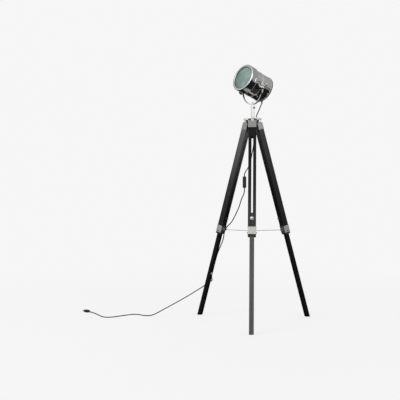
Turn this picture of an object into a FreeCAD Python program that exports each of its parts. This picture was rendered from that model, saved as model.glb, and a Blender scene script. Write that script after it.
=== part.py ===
"""Tripod spotlight floor lamp: three telescoping wooden legs under a small cast hub,
a steel stem, a U-shaped yoke and a chromed drum head with a hinged frosted front.

Millimetres, +Z up, floor at z = 0. The front leg points along -Y. The lamp is built about
its own upright axis and then moved along Y, so that the origin lies under the middle of
the box around the lamp.
"""
import FreeCAD
import Part
import math
import os

V = FreeCAD.Vector

# ---------------------------------------------------------------- driving dimensions
CLEAR = 0.1                 # running gap between pieces that slide or turn
FLAT_GAP = 0.05             # gap under heads and shoulders

# tripod
FRONT_LEG_ANGLE = 270.0
RIGHT_LEG_ANGLE = 30.0
LEFT_LEG_ANGLE = 150.0
LEG_ANGLES = {"front": FRONT_LEG_ANGLE, "right": RIGHT_LEG_ANGLE, "left": LEFT_LEG_ANGLE}
FOOT_RADIUS = 375.0         # from the lamp's axis to the middle of each foot
PIVOT_RADIUS = 32.0         # from the lamp's axis to each leg's hinge bolt
PIVOT_Z = 1156.0

# hub casting
HUB_RADIUS = 52.0
HUB_THICK = 5.0
HUB_GAP = 1.0               # between the knuckles and the hub plate
HUB_BOSS_RADIUS = 12.0
HUB_BOSS_DROP = 26.0
KNUCKLE_RADIUS = 9.0
TONGUE_WIDTH = 17.0
HINGE_BOLT_RADIUS = 4.0
HINGE_HEAD_RADIUS = 7.0
HINGE_HEAD_HEIGHT = 4.0
CORD_HOLE_RADIUS = 5.0
CORD_HOLE_X = 21.6
CORD_HOLE_Y = -12.5

# upper leg
UPPER_WIDTH = 44.5
UPPER_DEPTH = 34.0
UPPER_EDGE = 2.5            # rounding of its long edges

# leg cap, a casting over the top of each upper leg
CAP_PROUD = 0.75            # how far the cap stands out from the wood
CAP_WIDTH = UPPER_WIDTH + 2 * CAP_PROUD
CAP_DEPTH = UPPER_DEPTH + 2 * CAP_PROUD
CAP_SHOULDER = 10.5         # from the hinge bolt down to the cap's top
CAP_TOP_WALL = 6.0
CAP_WALL = 2.7
CAP_LENGTH = 38.0
CAP_LIP_HEIGHT = 3.5
CAP_LIP_PROUD = 0.9
CAP_TAIL_WIDTH = 14.0
CAP_TAIL_THICK = 2.4
CAP_TAIL_LENGTH = 14.0

# the slot and the channel in the upper leg; distances down the leg from the hinge bolt
CLAMP_DISTANCE = 584.2      # clamp bolt
CLAMP_BOLT_RADIUS = 4.0
SLOT_PLAY = 1.0             # between the clamp bolt and each side of its slot
SLOT_OVERRUN = 0.8          # of the slot beyond the clamp bolt's lowest place
SLOT_WIDTH = 2 * (CLAMP_BOLT_RADIUS + SLOT_PLAY)
SLOT_TOP = 103.0
SLOT_BOTTOM = CLAMP_DISTANCE + SLOT_WIDTH / 2 + SLOT_OVERRUN
CHANNEL_OVER_SLOT = 5.0     # the channel's end above the slot's
CHANNEL_TOP = SLOT_TOP - CHANNEL_OVER_SLOT

# lower leg
LOWER_WIDTH = 25.0
LOWER_DEPTH = 23.0
LOWER_EDGE = 1.8
LOWER_OVER_CLAMP = 33.5     # the lower leg's top above the clamp bolt
LOWER_TOP = CLAMP_DISTANCE - LOWER_OVER_CLAMP
CHANNEL_GAP = 0.3           # between the lower leg and its channel

# clamp bolt
CLAMP_WASHER_RADIUS = 9.5
CLAMP_WASHER_THICK = 1.6
CLAMP_HEAD_RADIUS = 8.0
CLAMP_HEAD_HEIGHT = 5.0
WING_NUT_RADIUS = 6.5
WING_NUT_HEIGHT = 7.0
WING_SPAN = 11.5
WING_THICK = 2.6
WING_HEIGHT = 6.0

# collar at the lower end of each upper leg
COLLAR_UNDER_CLAMP = 47.3   # the collar's top below the clamp bolt
COLLAR_TOP = CLAMP_DISTANCE + COLLAR_UNDER_CLAMP
COLLAR_LENGTH = 41.0
COLLAR_SIDE_PROUD = 1.0     # how far the collar stands out from the wood
COLLAR_FACE_PROUD = 1.1
COLLAR_WIDTH = UPPER_WIDTH + 2 * COLLAR_SIDE_PROUD
COLLAR_DEPTH = UPPER_DEPTH + 2 * COLLAR_FACE_PROUD
COLLAR_WALL = 1.9
COLLAR_FLOOR = 4.3
COLLAR_BEAD_HEIGHT = 2.6
COLLAR_BEAD_PROUD = 0.6
EYE_RADIUS = 6.0
EYE_WIRE_RADIUS = 1.5
BUSH_SIDE_INSET = 1.25      # how far the bush lies inside the collar's outline
BUSH_FACE_INSET = 1.35
BUSH_WIDTH = COLLAR_WIDTH - 2 * BUSH_SIDE_INSET
BUSH_DEPTH = COLLAR_DEPTH - 2 * BUSH_FACE_INSET
BUSH_HEIGHT = 11.5
BUSH_TAPER = 1.6

# chain spreader
CHAIN_RADIUS = 1.5
CHAIN_RING_RADIUS = 11.0
CHAIN_RING_WIRE = 1.6

# stem
SPIGOT_RADIUS = 7.0
STEM_BORE_RADIUS = SPIGOT_RADIUS + CLEAR
STEM_WALL = 2.4
STEM_RADIUS = STEM_BORE_RADIUS + STEM_WALL
STEM_TOP_Z = 1249.8
STEM_FLANGE_WIDTH = 7.5     # round the stem's foot
STEM_FLANGE_RADIUS = STEM_RADIUS + STEM_FLANGE_WIDTH
STEM_FLANGE_THICK = 6.0
SPIGOT_LENGTH = 64.0
SPIGOT_STUD_RADIUS = 5.0
SPIGOT_COLLAR_THICK = 1.1
DOME_NUT_RADIUS = 6.6
DOME_NUT_HEIGHT = 6.0
THUMB_ANGLE = 315.0
THUMB_Z = 1232.0
THUMB_SHAFT_RADIUS = 2.0
THUMB_KNOB_RADIUS = 4.6
THUMB_KNOB_LENGTH = 7.0

# yoke
HEAD_TURN = 135.0           # turn of the yoke about the stem, so that the head faces -X -Y
DRUM_RADIUS = 75.5
YOKE_SIDE_GAP = 4.5         # from the drum's widest line to the middle of the strap
YOKE_HALF_WIDTH = DRUM_RADIUS + YOKE_SIDE_GAP
YOKE_THICK = 3.5
YOKE_STRAP_WIDTH = 12.0
YOKE_EAR_RADIUS = 11.0
YOKE_STRAIGHT = 5.25        # of its arms, between the half round and the tilt axis
STUD_RADIUS = 4.0
KNOB_RADIUS = 18.0
KNOB_THICK = 10.0
KNOB_HUB_RADIUS = 7.5
KNOB_NECK_LENGTH = 6.0
KNOB_CAP_HEIGHT = 4.0
KNOB_FLUTES = 10
KNOB_FLUTE_RADIUS = 3.2
KNOB_WASHER_RADIUS = 9.5
KNOB_WASHER_THICK = 1.4
LEVER_HUB_LENGTH = 11.0
LEVER_ROOT = 6.0            # along the lever's hub
LEVER_OUT = 34.0            # the ball's place, outward from the strap and up from the stud
LEVER_UP = 14.0
LEVER_ROOT_RADIUS = 3.6
LEVER_TIP_RADIUS = 2.4
LEVER_BALL_RADIUS = 4.6

# head; stations along its axis are measured from the tilt axis, forward positive
HEAD_TILT = 17.6            # the head looks up by this many degrees
DRUM_RISE = 35.0            # drum axis above the tilt axis
DRUM_WALL = 1.3
DRUM_BACK = -74.0
DRUM_FRONT = 61.0
BEAD_STATION = 5.0
BEAD_WIDTH = 3.0
BEAD_PROUD = 0.8
RIM_PROUD = 4.5             # the front rim's radius over the drum's
RIM_RADIUS = DRUM_RADIUS + RIM_PROUD
FLANGE_LAP = 13.0           # of the fixed flange over the drum's end
FLANGE_BACK = DRUM_FRONT - FLANGE_LAP
SEAM_AHEAD = 2.2            # the seam lies this far before the drum's end
SEAM_STATION = DRUM_FRONT + SEAM_AHEAD
SEAM_GAP = 0.3
RIM_DEPTH = 30.8            # from the seam to the front
RIM_FRONT = SEAM_STATION + RIM_DEPTH
RIM_WALL = 2.0
RIM_ROUND = 5.0
LIP_WIDTH = 13.0            # of the front ring's face
OPENING_RADIUS = RIM_RADIUS - LIP_WIDTH
GASKET_SHOW = 3.6           # of the gasket, seen inside the opening
GASKET_INNER_RADIUS = OPENING_RADIUS - GASKET_SHOW
GASKET_THICK = 3.0
GLASS_LAP = 5.5             # of the glass behind the face of the front ring
GLASS_RADIUS = OPENING_RADIUS + GLASS_LAP
GLASS_THICK = 4.0
GLASS_CROWN = 3.5
CAP_RIM_PROUD = 1.5         # the rear cap's radius over the drum's
CAP_RIM_RADIUS = DRUM_RADIUS + CAP_RIM_PROUD
REAR_CAP_LAP = 5.0
REAR_CAP_FRONT = DRUM_BACK + REAR_CAP_LAP
REAR_CAP_DEEP = 4.5         # beyond the drum's end
REAR_CAP_BACK = DRUM_BACK - REAR_CAP_DEEP
REAR_CAP_CROWN = 4.0
REAR_SCREWS = 4
REAR_SCREW_RADIUS = 1.5
REAR_SCREW_HEAD_RADIUS = 3.2
REAR_SCREW_HEAD_HEIGHT = 1.8
REFLECTOR_INSET = 2.0       # the reflector's mouth behind the drum's end
REFLECTOR_MOUTH = DRUM_FRONT - REFLECTOR_INSET
REFLECTOR_FLANGE = 5.5      # width of its flat rim
REFLECTOR_RADIUS = DRUM_RADIUS - REFLECTOR_FLANGE
REFLECTOR_DEPTH = 58.0
REFLECTOR_NECK = REFLECTOR_MOUTH - REFLECTOR_DEPTH
REFLECTOR_WALL = 1.0
SOCKET_RADIUS = 15.5
REFLECTOR_NECK_GAP = 1.0
REFLECTOR_NECK_RADIUS = SOCKET_RADIUS + REFLECTOR_NECK_GAP
SOCKET_BEHIND_NECK = 2.0
SOCKET_FRONT = REFLECTOR_NECK - SOCKET_BEHIND_NECK
SOCKET_LENGTH = 42.0
SOCKET_TUBE_RADIUS = 7.0
BULB_RADIUS = 30.0
BULB_NECK_RADIUS = 13.2
BULB_NECK_LENGTH = 12.0
SADDLE_THICK = 2.4
SADDLE_BACK = -26.0
SADDLE_LOW = -15.0
SADDLE_HIGH = 13.0
LUG_RADIUS = 11.0
LUG_GAP = 0.4               # between the saddle bosses and the yoke
LUG_ROOT = 40.0             # where the bosses are begun, inside the drum
GLAND_X = -28.0
GLAND_NUT_RADIUS = 7.5
GLAND_GAP = 0.7             # between the gland's nut and the rear cap
GLAND_STATION = REAR_CAP_FRONT + GLAND_NUT_RADIUS + GLAND_GAP
GLAND_NUT_HEIGHT = 4.0
GLAND_BODY_RADIUS = 5.8
GLAND_LENGTH = 12.5

# hinge and screw of the front ring
DOOR_DROP_ANGLE = 12.0      # the hinge lies this far below the drum's middle, near side
DOOR_HINGE_OUT = 3.6        # the hinge's axis outside the rim
DOOR_HINGE_RADIUS = RIM_RADIUS + DOOR_HINGE_OUT
DOOR_KNUCKLE_RADIUS = 3.2
DOOR_PIN_RADIUS = 1.5
DOOR_BARREL_HALF = 11.0
DOOR_MIDDLE_HALF = 4.9
DOOR_LEAF_LENGTH = 8.0
DOOR_LEAF_PROUD = 2.0
DOOR_LEAF_TOP = RIM_RADIUS + DOOR_LEAF_PROUD
DOOR_EAR_REACH = 10.0
DOOR_EAR_RADIUS = RIM_RADIUS + DOOR_EAR_REACH
DOOR_EAR_HALF = 5.0
DOOR_EAR_LENGTH = 5.6
DOOR_SCREW_RADIUS = 2.0
DOOR_SCREW_HEAD_RADIUS = 4.6
DOOR_SCREW_HEAD_HEIGHT = 6.0
DOOR_SCREW_REACH = 5.0

# cord
CORD_RADIUS = 2.9
CORD_REST_Z = 3.0           # middle of the cord where it lies on the floor
PLUG_REST_Z = 6.9           # middle of the plug where it lies on the floor
CORD_STRAIGHT = 14.0        # the cord leaves the gland straight for this far
TANGENT_SHARE = 0.45        # share of the shorter run taken by each bend
SWITCH_WIDTH = 21.0
SWITCH_THICK = 14.0
SWITCH_TOP_Z = 835.5
SWITCH_BOTTOM_Z = 769.5
SWITCH_X = -46.0
SWITCH_Y = -27.7
SWITCH_EDGE = 5.0
ROCKER_WIDTH = 8.0
ROCKER_LENGTH = 16.0
ROCKER_PROUD = 2.2
CLIP_DISTANCE = 933.7       # down the left leg from the hinge bolt
CLIP_LENGTH = 13.6
CLIP_STRAIGHT_ABOVE = 40.0  # the cord runs along the leg for this far above the clip and below
CLIP_STRAIGHT_BELOW = 18.7
CLIP_WALL = 1.2
CLIP_ROOM = 0.3             # between the cord and the sleeve
CLIP_FOOT_SIDE = 4.0
CLIP_FOOT_THICK = 1.25
PLUG_LENGTH = 34.0
PLUG_WIDTH = 26.0
PLUG_THICK = 13.7
PLUG_NECK_LENGTH = 26.0
PLUG_NECK_RADIUS = 5.2
PIN_RADIUS = 2.0
PIN_LENGTH = 19.0
PIN_SPACING = 19.0

# the cord's routes about the lamp's axis, from the head to the plug
ROUTE_HEAD = [(46.3, -2.4, 1242), (38.6, -4, 1222)]
ROUTE_YOKE = [(32.825, -5.2, 1207), (23.2, -8.4, 1190)]
ROUTE_DROP = [(20.6, -15.06, 1159.13), (19.6, -15, 1135), (18.2, -15, 1105), (14.5, -16, 1070), (9.5, -17.5, 1035),
              (3.5, -20, 1000), (-2.5, -22.5, 968), (-9, -23.5, 932), (-19.5, -24.5, 895),
              (-33, -25.5, 873), (-43.8, -27.1, 856), (SWITCH_X, SWITCH_Y, 845)]
ROUTE_UPPER_LEG = [(-45.8, -27.5, 752), (-50, -25, 733), (-61, -17, 711), (-70, -4, 687),
                   (-77, 8, 662), (-88, 21, 639), (-99, 34, 615), (-112, 50, 591),
                   (-126, 64, 567), (-152, 80.5, 544), (-161, 85, 526)]
ROUTE_LOWER_LEG = [(-161, 85, 526), (-168, 88.5, 512), (-172, 91, 488), (-176, 95, 466),
                   (-184, 101, 444), (-193, 108, 424), (-203, 115, 402), (-213, 122, 376),
                   (-224, 129, 338)]        # and on to the clip
ROUTE_AIR = [(-247.4, 155.5, 222), (-248.4, 167.7, 211), (-261.7, 178.8, 201),
             (-282.5, 182.7, 189), (-299, 175.5, 176), (-320, 174, 162.5),
             (-345.6, 171, 147), (-379.6, 163.7, 125), (-422.9, 151.4, 101)]
ROUTE_FLOOR = [(-422.9, 151.4, 101), (-464.9, 139.469, 77.72), (-506, 128, 56), (-548, 117, 34),
               (-578, 110, 17), (-604, 102, 6.5), (-628, 95, CORD_REST_Z),
               (-650, 99, CORD_REST_Z), (-672, 115, CORD_REST_Z), (-697, 133, CORD_REST_Z),
               (-722, 138, CORD_REST_Z), (-745, 125, CORD_REST_Z), (-771, 97, CORD_REST_Z),
               (-803, 62, CORD_REST_Z), (-832, 33, CORD_REST_Z), (-858, 20, CORD_REST_Z),
               (-884, 28, CORD_REST_Z), (-910, 58, CORD_REST_Z), (-940, 99, 4.6),
               (-974, 140, PLUG_REST_Z), (-1006, 172, PLUG_REST_Z)]

# ---------------------------------------------------------------- worked-out places
LEG_TILT = math.degrees(math.atan2(FOOT_RADIUS - PIVOT_RADIUS, PIVOT_Z))
HUB_UNDER_Z = PIVOT_Z + KNUCKLE_RADIUS + HUB_GAP
HUB_TOP_Z = HUB_UNDER_Z + HUB_THICK
COLLAR_BOTTOM = COLLAR_TOP + COLLAR_LENGTH
CAP_TOP = -CAP_SHOULDER
CAP_BOTTOM = CAP_TOP - CAP_LENGTH
CAP_CAVITY_TOP = CAP_TOP - CAP_TOP_WALL
COLLAR_CAVITY_WIDTH = COLLAR_WIDTH - 2 * COLLAR_WALL
COLLAR_CAVITY_DEPTH = COLLAR_DEPTH - 2 * COLLAR_WALL
CHANNEL_WIDTH = LOWER_WIDTH + 2 * CHANNEL_GAP
CHANNEL_DEPTH = LOWER_DEPTH + 2 * CHANNEL_GAP
YOKE_BOTTOM_Z = STEM_TOP_Z + CLEAR + SPIGOT_COLLAR_THICK
YOKE_INNER = YOKE_HALF_WIDTH - YOKE_THICK / 2
YOKE_OUTER = YOKE_HALF_WIDTH + YOKE_THICK / 2
TILT_Z = YOKE_BOTTOM_Z + YOKE_OUTER + YOKE_STRAIGHT
RING_BACK = SEAM_STATION + SEAM_GAP / 2
FLANGE_FRONT = SEAM_STATION - SEAM_GAP / 2
LIP_BACK = RIM_FRONT - 2.5
GASKET_BACK = LIP_BACK - FLAT_GAP - GASKET_THICK

tilt = math.radians(LEG_TILT)
foot_radial = LOWER_DEPTH / 2 / math.cos(tilt)
# half the box of the feet along Y, front to back, gives the axis its place over the origin
front_reach = FOOT_RADIUS + foot_radial
back_reach = (FOOT_RADIUS + foot_radial) * 0.5 + LOWER_WIDTH / 2 * math.cos(math.radians(30))
AXIS_Y = (front_reach - back_reach) / 2

nodes = {}


# ---------------------------------------------------------------- small makers
def add(name, *solids):
    """Keep the solids of one node."""
    nodes[name] = solids[0] if len(solids) == 1 else Part.makeCompound(list(solids))


def block(x0, x1, y0, y1, z0, z1):
    return Part.makeBox(x1 - x0, y1 - y0, z1 - z0, V(x0, y0, z0))


def rod(start, end, radius):
    return Part.makeCylinder(radius, (end - start).Length, start, end - start)


def rounded_bar(width, depth, z0, z1, edge):
    """An upright bar of width along X and depth along Y, with rounded long edges."""
    bar = block(-width / 2, width / 2, -depth / 2, depth / 2, z0, z1)
    upright = [e for e in bar.Edges if abs(e.tangentAt(e.FirstParameter).z) > 0.9]
    return bar.makeFillet(edge, upright)


def ring(centre, axis, radius, wire):
    return Part.makeTorus(radius, wire, centre, axis)


def turned(points, closed_arcs=None):
    """A solid of revolution about the drum's axis from (radius, station) points.

    closed_arcs gives, for a point's index, the middle of an arc to the next point.
    """
    arcs = closed_arcs or {}
    corners = [V(0, station, radius + DRUM_RISE) for radius, station in points]
    edges = []
    for i, corner in enumerate(corners):
        following = corners[(i + 1) % len(corners)]
        if i in arcs:
            radius, station = arcs[i]
            middle = V(0, station, radius + DRUM_RISE)
            edges.append(Part.Arc(corner, middle, following).toShape())
        else:
            edges.append(Part.LineSegment(corner, following).toShape())
    face = Part.Face(Part.Wire(edges))
    return face.revolve(V(0, 0, DRUM_RISE), V(0, 1, 0), 360)


def crown(radius, height, at):
    """Height of a shallow dome, of the given rim radius and height, at a radius of its own."""
    sphere = (radius ** 2 + height ** 2) / (2 * height)
    return height - sphere + math.sqrt(sphere ** 2 - at ** 2)


def leg_place(angle):
    """From a leg's own frame (X across, Y outward, Z up the leg) to the lamp's axis."""
    turn = FreeCAD.Rotation(V(0, 0, 1), angle - 90) * FreeCAD.Rotation(V(1, 0, 0), LEG_TILT)
    a = math.radians(angle)
    return FreeCAD.Placement(V(PIVOT_RADIUS * math.cos(a), PIVOT_RADIUS * math.sin(a), PIVOT_Z), turn)


def yoke_place():
    return FreeCAD.Placement(V(0, 0, TILT_Z), FreeCAD.Rotation(V(0, 0, 1), HEAD_TURN))


def head_place():
    turn = FreeCAD.Rotation(V(0, 0, 1), HEAD_TURN) * FreeCAD.Rotation(V(1, 0, 0), HEAD_TILT)
    return FreeCAD.Placement(V(0, 0, TILT_Z), turn)


def placed(shape, placement):
    moved = shape.copy()
    moved.Placement = placement.multiply(moved.Placement)
    return moved


def tube(name, points):
    """A cord stretch: straight runs joined by tangent arcs as large as the runs allow."""
    points = [V(*p) for p in points]
    directions = [(b - a).normalize() for a, b in zip(points, points[1:])]
    lengths = [(b - a).Length for a, b in zip(points, points[1:])]
    edges = []
    radii = []
    at = points[0]
    total = 0.0
    for i in range(1, len(points) - 1):
        d0, d1 = directions[i - 1], directions[i]
        half = d0.getAngle(d1) / 2
        reach = TANGENT_SHARE * min(lengths[i - 1], lengths[i])
        radius = reach / math.tan(half)
        inward = (d1 - d0).normalize()
        first = points[i] - d0 * reach
        last = points[i] + d1 * reach
        middle = points[i] + inward * (radius / math.cos(half) - radius)
        edges.append(Part.LineSegment(at, first).toShape())
        edges.append(Part.Arc(first, middle, last).toShape())
        total += (first - at).Length + radius * 2 * half
        radii.append(radius)
        at = last
    edges.append(Part.LineSegment(at, points[-1]).toShape())
    total += (points[-1] - at).Length
    path = Part.Wire(edges)
    circle = Part.Wire(Part.makeCircle(CORD_RADIUS, points[0], directions[0]))
    solid = path.makePipeShell([circle], True, False)
    expected = math.pi * CORD_RADIUS ** 2 * total
    print("%s: length %.0f, least radius %.0f (%s), volume %.4f of section x length"
          % (name, total, min(radii) if radii else 0, " ".join("%.0f" % r for r in radii),
             solid.Volume / expected))
    add(name, solid)
    return total


# ---------------------------------------------------------------- hub, stem and spreader
def make_hub():
    plate = Part.makeCylinder(HUB_RADIUS, HUB_THICK, V(0, 0, HUB_UNDER_Z))
    plate = plate.makeFillet(1.8, [e for e in plate.Edges if e.Vertexes[0].Point.z > HUB_TOP_Z - 0.01
                                   and len(e.Vertexes) == 1])
    casting = plate.fuse(Part.makeCylinder(HUB_BOSS_RADIUS, HUB_BOSS_DROP,
                                           V(0, 0, HUB_UNDER_Z - HUB_BOSS_DROP)))
    bores = []
    bolts = []
    half = TONGUE_WIDTH / 2
    outer = CAP_WIDTH / 2
    for angle in LEG_ANGLES.values():
        a = math.radians(angle)
        turn = FreeCAD.Placement(V(0, 0, 0), FreeCAD.Rotation(V(0, 0, 1), angle - 90))
        web = block(-half, half, 0, PIVOT_RADIUS, PIVOT_Z - KNUCKLE_RADIUS, HUB_UNDER_Z)
        top = block(-half, half, 0, PIVOT_RADIUS + KNUCKLE_RADIUS, PIVOT_Z, HUB_UNDER_Z)
        knuckle = rod(V(-half, PIVOT_RADIUS, PIVOT_Z), V(half, PIVOT_RADIUS, PIVOT_Z), KNUCKLE_RADIUS)
        casting = casting.fuse(placed(web.fuse(top).fuse(knuckle), turn))
        bores.append(placed(rod(V(-outer, PIVOT_RADIUS, PIVOT_Z), V(outer, PIVOT_RADIUS, PIVOT_Z),
                                HINGE_BOLT_RADIUS + CLEAR / 2), turn))
        reach = outer + FLAT_GAP
        shaft = rod(V(-reach, PIVOT_RADIUS, PIVOT_Z), V(reach, PIVOT_RADIUS, PIVOT_Z), HINGE_BOLT_RADIUS)
        bolt = shaft
        for side in (-1, 1):
            head = rod(V(side * reach, PIVOT_RADIUS, PIVOT_Z),
                       V(side * (reach + HINGE_HEAD_HEIGHT), PIVOT_RADIUS, PIVOT_Z), HINGE_HEAD_RADIUS)
            rim = [e for e in head.Edges if len(e.Vertexes) == 1
                   and abs(e.Vertexes[0].Point.x) > reach + HINGE_HEAD_HEIGHT - 0.01]
            bolt = bolt.fuse(head.makeFillet(HINGE_HEAD_HEIGHT * 0.7, rim))
        bolts.append(placed(bolt.removeSplitter(), turn))
    hole = Part.makeCylinder(CORD_HOLE_RADIUS, HUB_THICK * 3, V(CORD_HOLE_X, CORD_HOLE_Y, HUB_UNDER_Z - HUB_THICK))
    casting = casting.cut(hole)
    for bore in bores:
        casting = casting.cut(bore)
    add("hub_casting", casting.removeSplitter())
    add("leg_hinge_bolts", *bolts)


def make_stem():
    flange = Part.makeCylinder(STEM_FLANGE_RADIUS, STEM_FLANGE_THICK, V(0, 0, HUB_TOP_Z))
    rim = [e for e in flange.Edges if len(e.Vertexes) == 1
           and e.Vertexes[0].Point.z > HUB_TOP_Z + STEM_FLANGE_THICK - 0.01]
    flange = flange.makeFillet(STEM_FLANGE_THICK * 0.5, rim)
    stem = flange.fuse(Part.makeCylinder(STEM_RADIUS, STEM_TOP_Z - HUB_TOP_Z, V(0, 0, HUB_TOP_Z)))
    stem = stem.cut(Part.makeCylinder(STEM_BORE_RADIUS, STEM_TOP_Z - HUB_TOP_Z, V(0, 0, HUB_TOP_Z)))
    a = math.radians(THUMB_ANGLE)
    out = V(math.cos(a), math.sin(a), 0)
    middle = V(0, 0, THUMB_Z)
    stem = stem.cut(rod(middle, middle + out * (STEM_RADIUS + 1), THUMB_SHAFT_RADIUS + CLEAR))
    add("stem_tube", stem.removeSplitter())
    tip = SPIGOT_RADIUS + CLEAR * 1.5
    knob_foot = STEM_RADIUS + 1.2
    shaft = rod(middle + out * tip, middle + out * knob_foot, THUMB_SHAFT_RADIUS)
    knob = rod(middle + out * knob_foot, middle + out * (knob_foot + THUMB_KNOB_LENGTH), THUMB_KNOB_RADIUS)
    knob = knob.makeFillet(0.9, [e for e in knob.Edges if len(e.Vertexes) == 1])
    add("stem_thumb_screw", knob.fuse(shaft).removeSplitter())


def make_spreader():
    """Three chains from the collars' eyes to a ring on the lamp's axis."""
    z = eye_middle(LEG_ANGLES["front"]).z
    add("chain_ring", ring(V(0, 0, z), V(0, 0, 1), CHAIN_RING_RADIUS, CHAIN_RING_WIRE))
    near = CHAIN_RING_RADIUS + CHAIN_RING_WIRE + FLAT_GAP
    for side, angle in LEG_ANGLES.items():
        a = math.radians(angle)
        out = V(math.cos(a), math.sin(a), 0)
        far = eye_middle(angle)
        reach = math.hypot(far.x, far.y) - EYE_RADIUS - EYE_WIRE_RADIUS - FLAT_GAP
        add("chain_" + side, rod(out * near + V(0, 0, z), out * reach + V(0, 0, z), CHAIN_RADIUS))


def eye_distance():
    return COLLAR_TOP + COLLAR_LENGTH / 2


def eye_middle(angle):
    """The middle of a collar's eye."""
    y = -COLLAR_DEPTH / 2 - EYE_RADIUS - EYE_WIRE_RADIUS
    return leg_place(angle).multVec(V(0, y, -eye_distance()))


# ---------------------------------------------------------------- legs
def make_leg(side, angle):
    place = leg_place(angle)
    half_gap = TONGUE_WIDTH / 2 + CLEAR * 2.5
    ear_half = CAP_WIDTH / 2

    # cap: a box over the top of the leg with two ears at the hinge bolt
    cap = rounded_bar(CAP_WIDTH, CAP_DEPTH, CAP_BOTTOM, CAP_TOP, UPPER_EDGE)
    lip = rounded_bar(CAP_WIDTH + 2 * CAP_LIP_PROUD, CAP_DEPTH + 2 * CAP_LIP_PROUD, CAP_BOTTOM,
                      CAP_BOTTOM + CAP_LIP_HEIGHT, UPPER_EDGE)
    cap = cap.fuse(lip)
    for hand in (-1, 1):
        inner, outer = sorted((hand * half_gap, hand * ear_half))
        ear = block(inner, outer, -KNUCKLE_RADIUS, KNUCKLE_RADIUS, CAP_TOP - 1, 0)
        ear = ear.fuse(rod(V(inner, 0, 0), V(outer, 0, 0), KNUCKLE_RADIUS))
        cap = cap.fuse(ear)
    tail_y = -UPPER_DEPTH / 2 - CLEAR
    cap = cap.fuse(block(-CAP_TAIL_WIDTH / 2, CAP_TAIL_WIDTH / 2, tail_y - CAP_TAIL_THICK, tail_y,
                         CAP_BOTTOM - CAP_TAIL_LENGTH, CAP_BOTTOM + CAP_LIP_HEIGHT))
    cap = cap.cut(block(-ear_half + CAP_WALL, ear_half - CAP_WALL, -CAP_DEPTH / 2 + CAP_WALL,
                        CAP_DEPTH / 2 - CAP_WALL, CAP_BOTTOM - 1, CAP_CAVITY_TOP))
    cap = cap.cut(rod(V(-ear_half - 1, 0, 0), V(ear_half + 1, 0, 0), HINGE_BOLT_RADIUS + CLEAR / 2))
    add("leg_cap_" + side, placed(cap.removeSplitter(), place))

    # upper leg: tenon in the cap, slotted shaft with its channel, reduced end in the collar
    shaft = rounded_bar(UPPER_WIDTH, UPPER_DEPTH, -COLLAR_TOP, CAP_BOTTOM - CLEAR, UPPER_EDGE)
    tenon = block(-ear_half + CAP_WALL + CLEAR, ear_half - CAP_WALL - CLEAR,
                  -CAP_DEPTH / 2 + CAP_WALL + CLEAR, CAP_DEPTH / 2 - CAP_WALL - CLEAR,
                  CAP_BOTTOM - 1, CAP_CAVITY_TOP - CLEAR)
    end = block(-COLLAR_CAVITY_WIDTH / 2 + CLEAR, COLLAR_CAVITY_WIDTH / 2 - CLEAR,
                -COLLAR_CAVITY_DEPTH / 2 + CLEAR, COLLAR_CAVITY_DEPTH / 2 - CLEAR,
                -COLLAR_BOTTOM + COLLAR_FLOOR + CLEAR, -COLLAR_TOP + 1)
    wood = shaft.fuse(tenon).fuse(end)
    channel = block(-CHANNEL_WIDTH / 2, CHANNEL_WIDTH / 2, -CHANNEL_DEPTH / 2, CHANNEL_DEPTH / 2,
                    -COLLAR_BOTTOM, -CHANNEL_TOP)
    slot_r = SLOT_WIDTH / 2
    slot = block(-slot_r, slot_r, -UPPER_DEPTH, UPPER_DEPTH, -SLOT_BOTTOM + slot_r, -SLOT_TOP - slot_r)
    for z in (-SLOT_TOP - slot_r, -SLOT_BOTTOM + slot_r):
        slot = slot.fuse(rod(V(0, -UPPER_DEPTH, z), V(0, UPPER_DEPTH, z), slot_r))
    wood = wood.cut(channel).cut(slot)
    add("upper_leg_" + side, placed(wood.removeSplitter(), place))

    # collar: a thin ferrule with a floor that guides the lower leg, and the chain's eye
    collar = rounded_bar(COLLAR_WIDTH, COLLAR_DEPTH, -COLLAR_BOTTOM, -COLLAR_TOP, UPPER_EDGE)
    bead = rounded_bar(COLLAR_WIDTH + 2 * COLLAR_BEAD_PROUD, COLLAR_DEPTH + 2 * COLLAR_BEAD_PROUD,
                       -COLLAR_TOP - COLLAR_BEAD_HEIGHT, -COLLAR_TOP, UPPER_EDGE)
    pad_z = -eye_distance()
    pad = block(-6, 6, -COLLAR_DEPTH / 2 - 1.5, -COLLAR_DEPTH / 2 + 1, pad_z - 5, pad_z + 5)
    eye_y = -COLLAR_DEPTH / 2 - EYE_RADIUS - EYE_WIRE_RADIUS
    eye = ring(V(0, eye_y, pad_z), V(1, 0, 0), EYE_RADIUS, EYE_WIRE_RADIUS)
    collar = collar.fuse(bead).fuse(pad).fuse(eye)
    collar = collar.cut(block(-COLLAR_CAVITY_WIDTH / 2, COLLAR_CAVITY_WIDTH / 2,
                              -COLLAR_CAVITY_DEPTH / 2, COLLAR_CAVITY_DEPTH / 2,
                              -COLLAR_BOTTOM + COLLAR_FLOOR, -COLLAR_TOP + 1))
    collar = collar.cut(block(-CHANNEL_WIDTH / 2, CHANNEL_WIDTH / 2, -CHANNEL_DEPTH / 2,
                              CHANNEL_DEPTH / 2, -COLLAR_BOTTOM - 1, -COLLAR_TOP))
    add("leg_collar_" + side, placed(collar.removeSplitter(), place))

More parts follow.
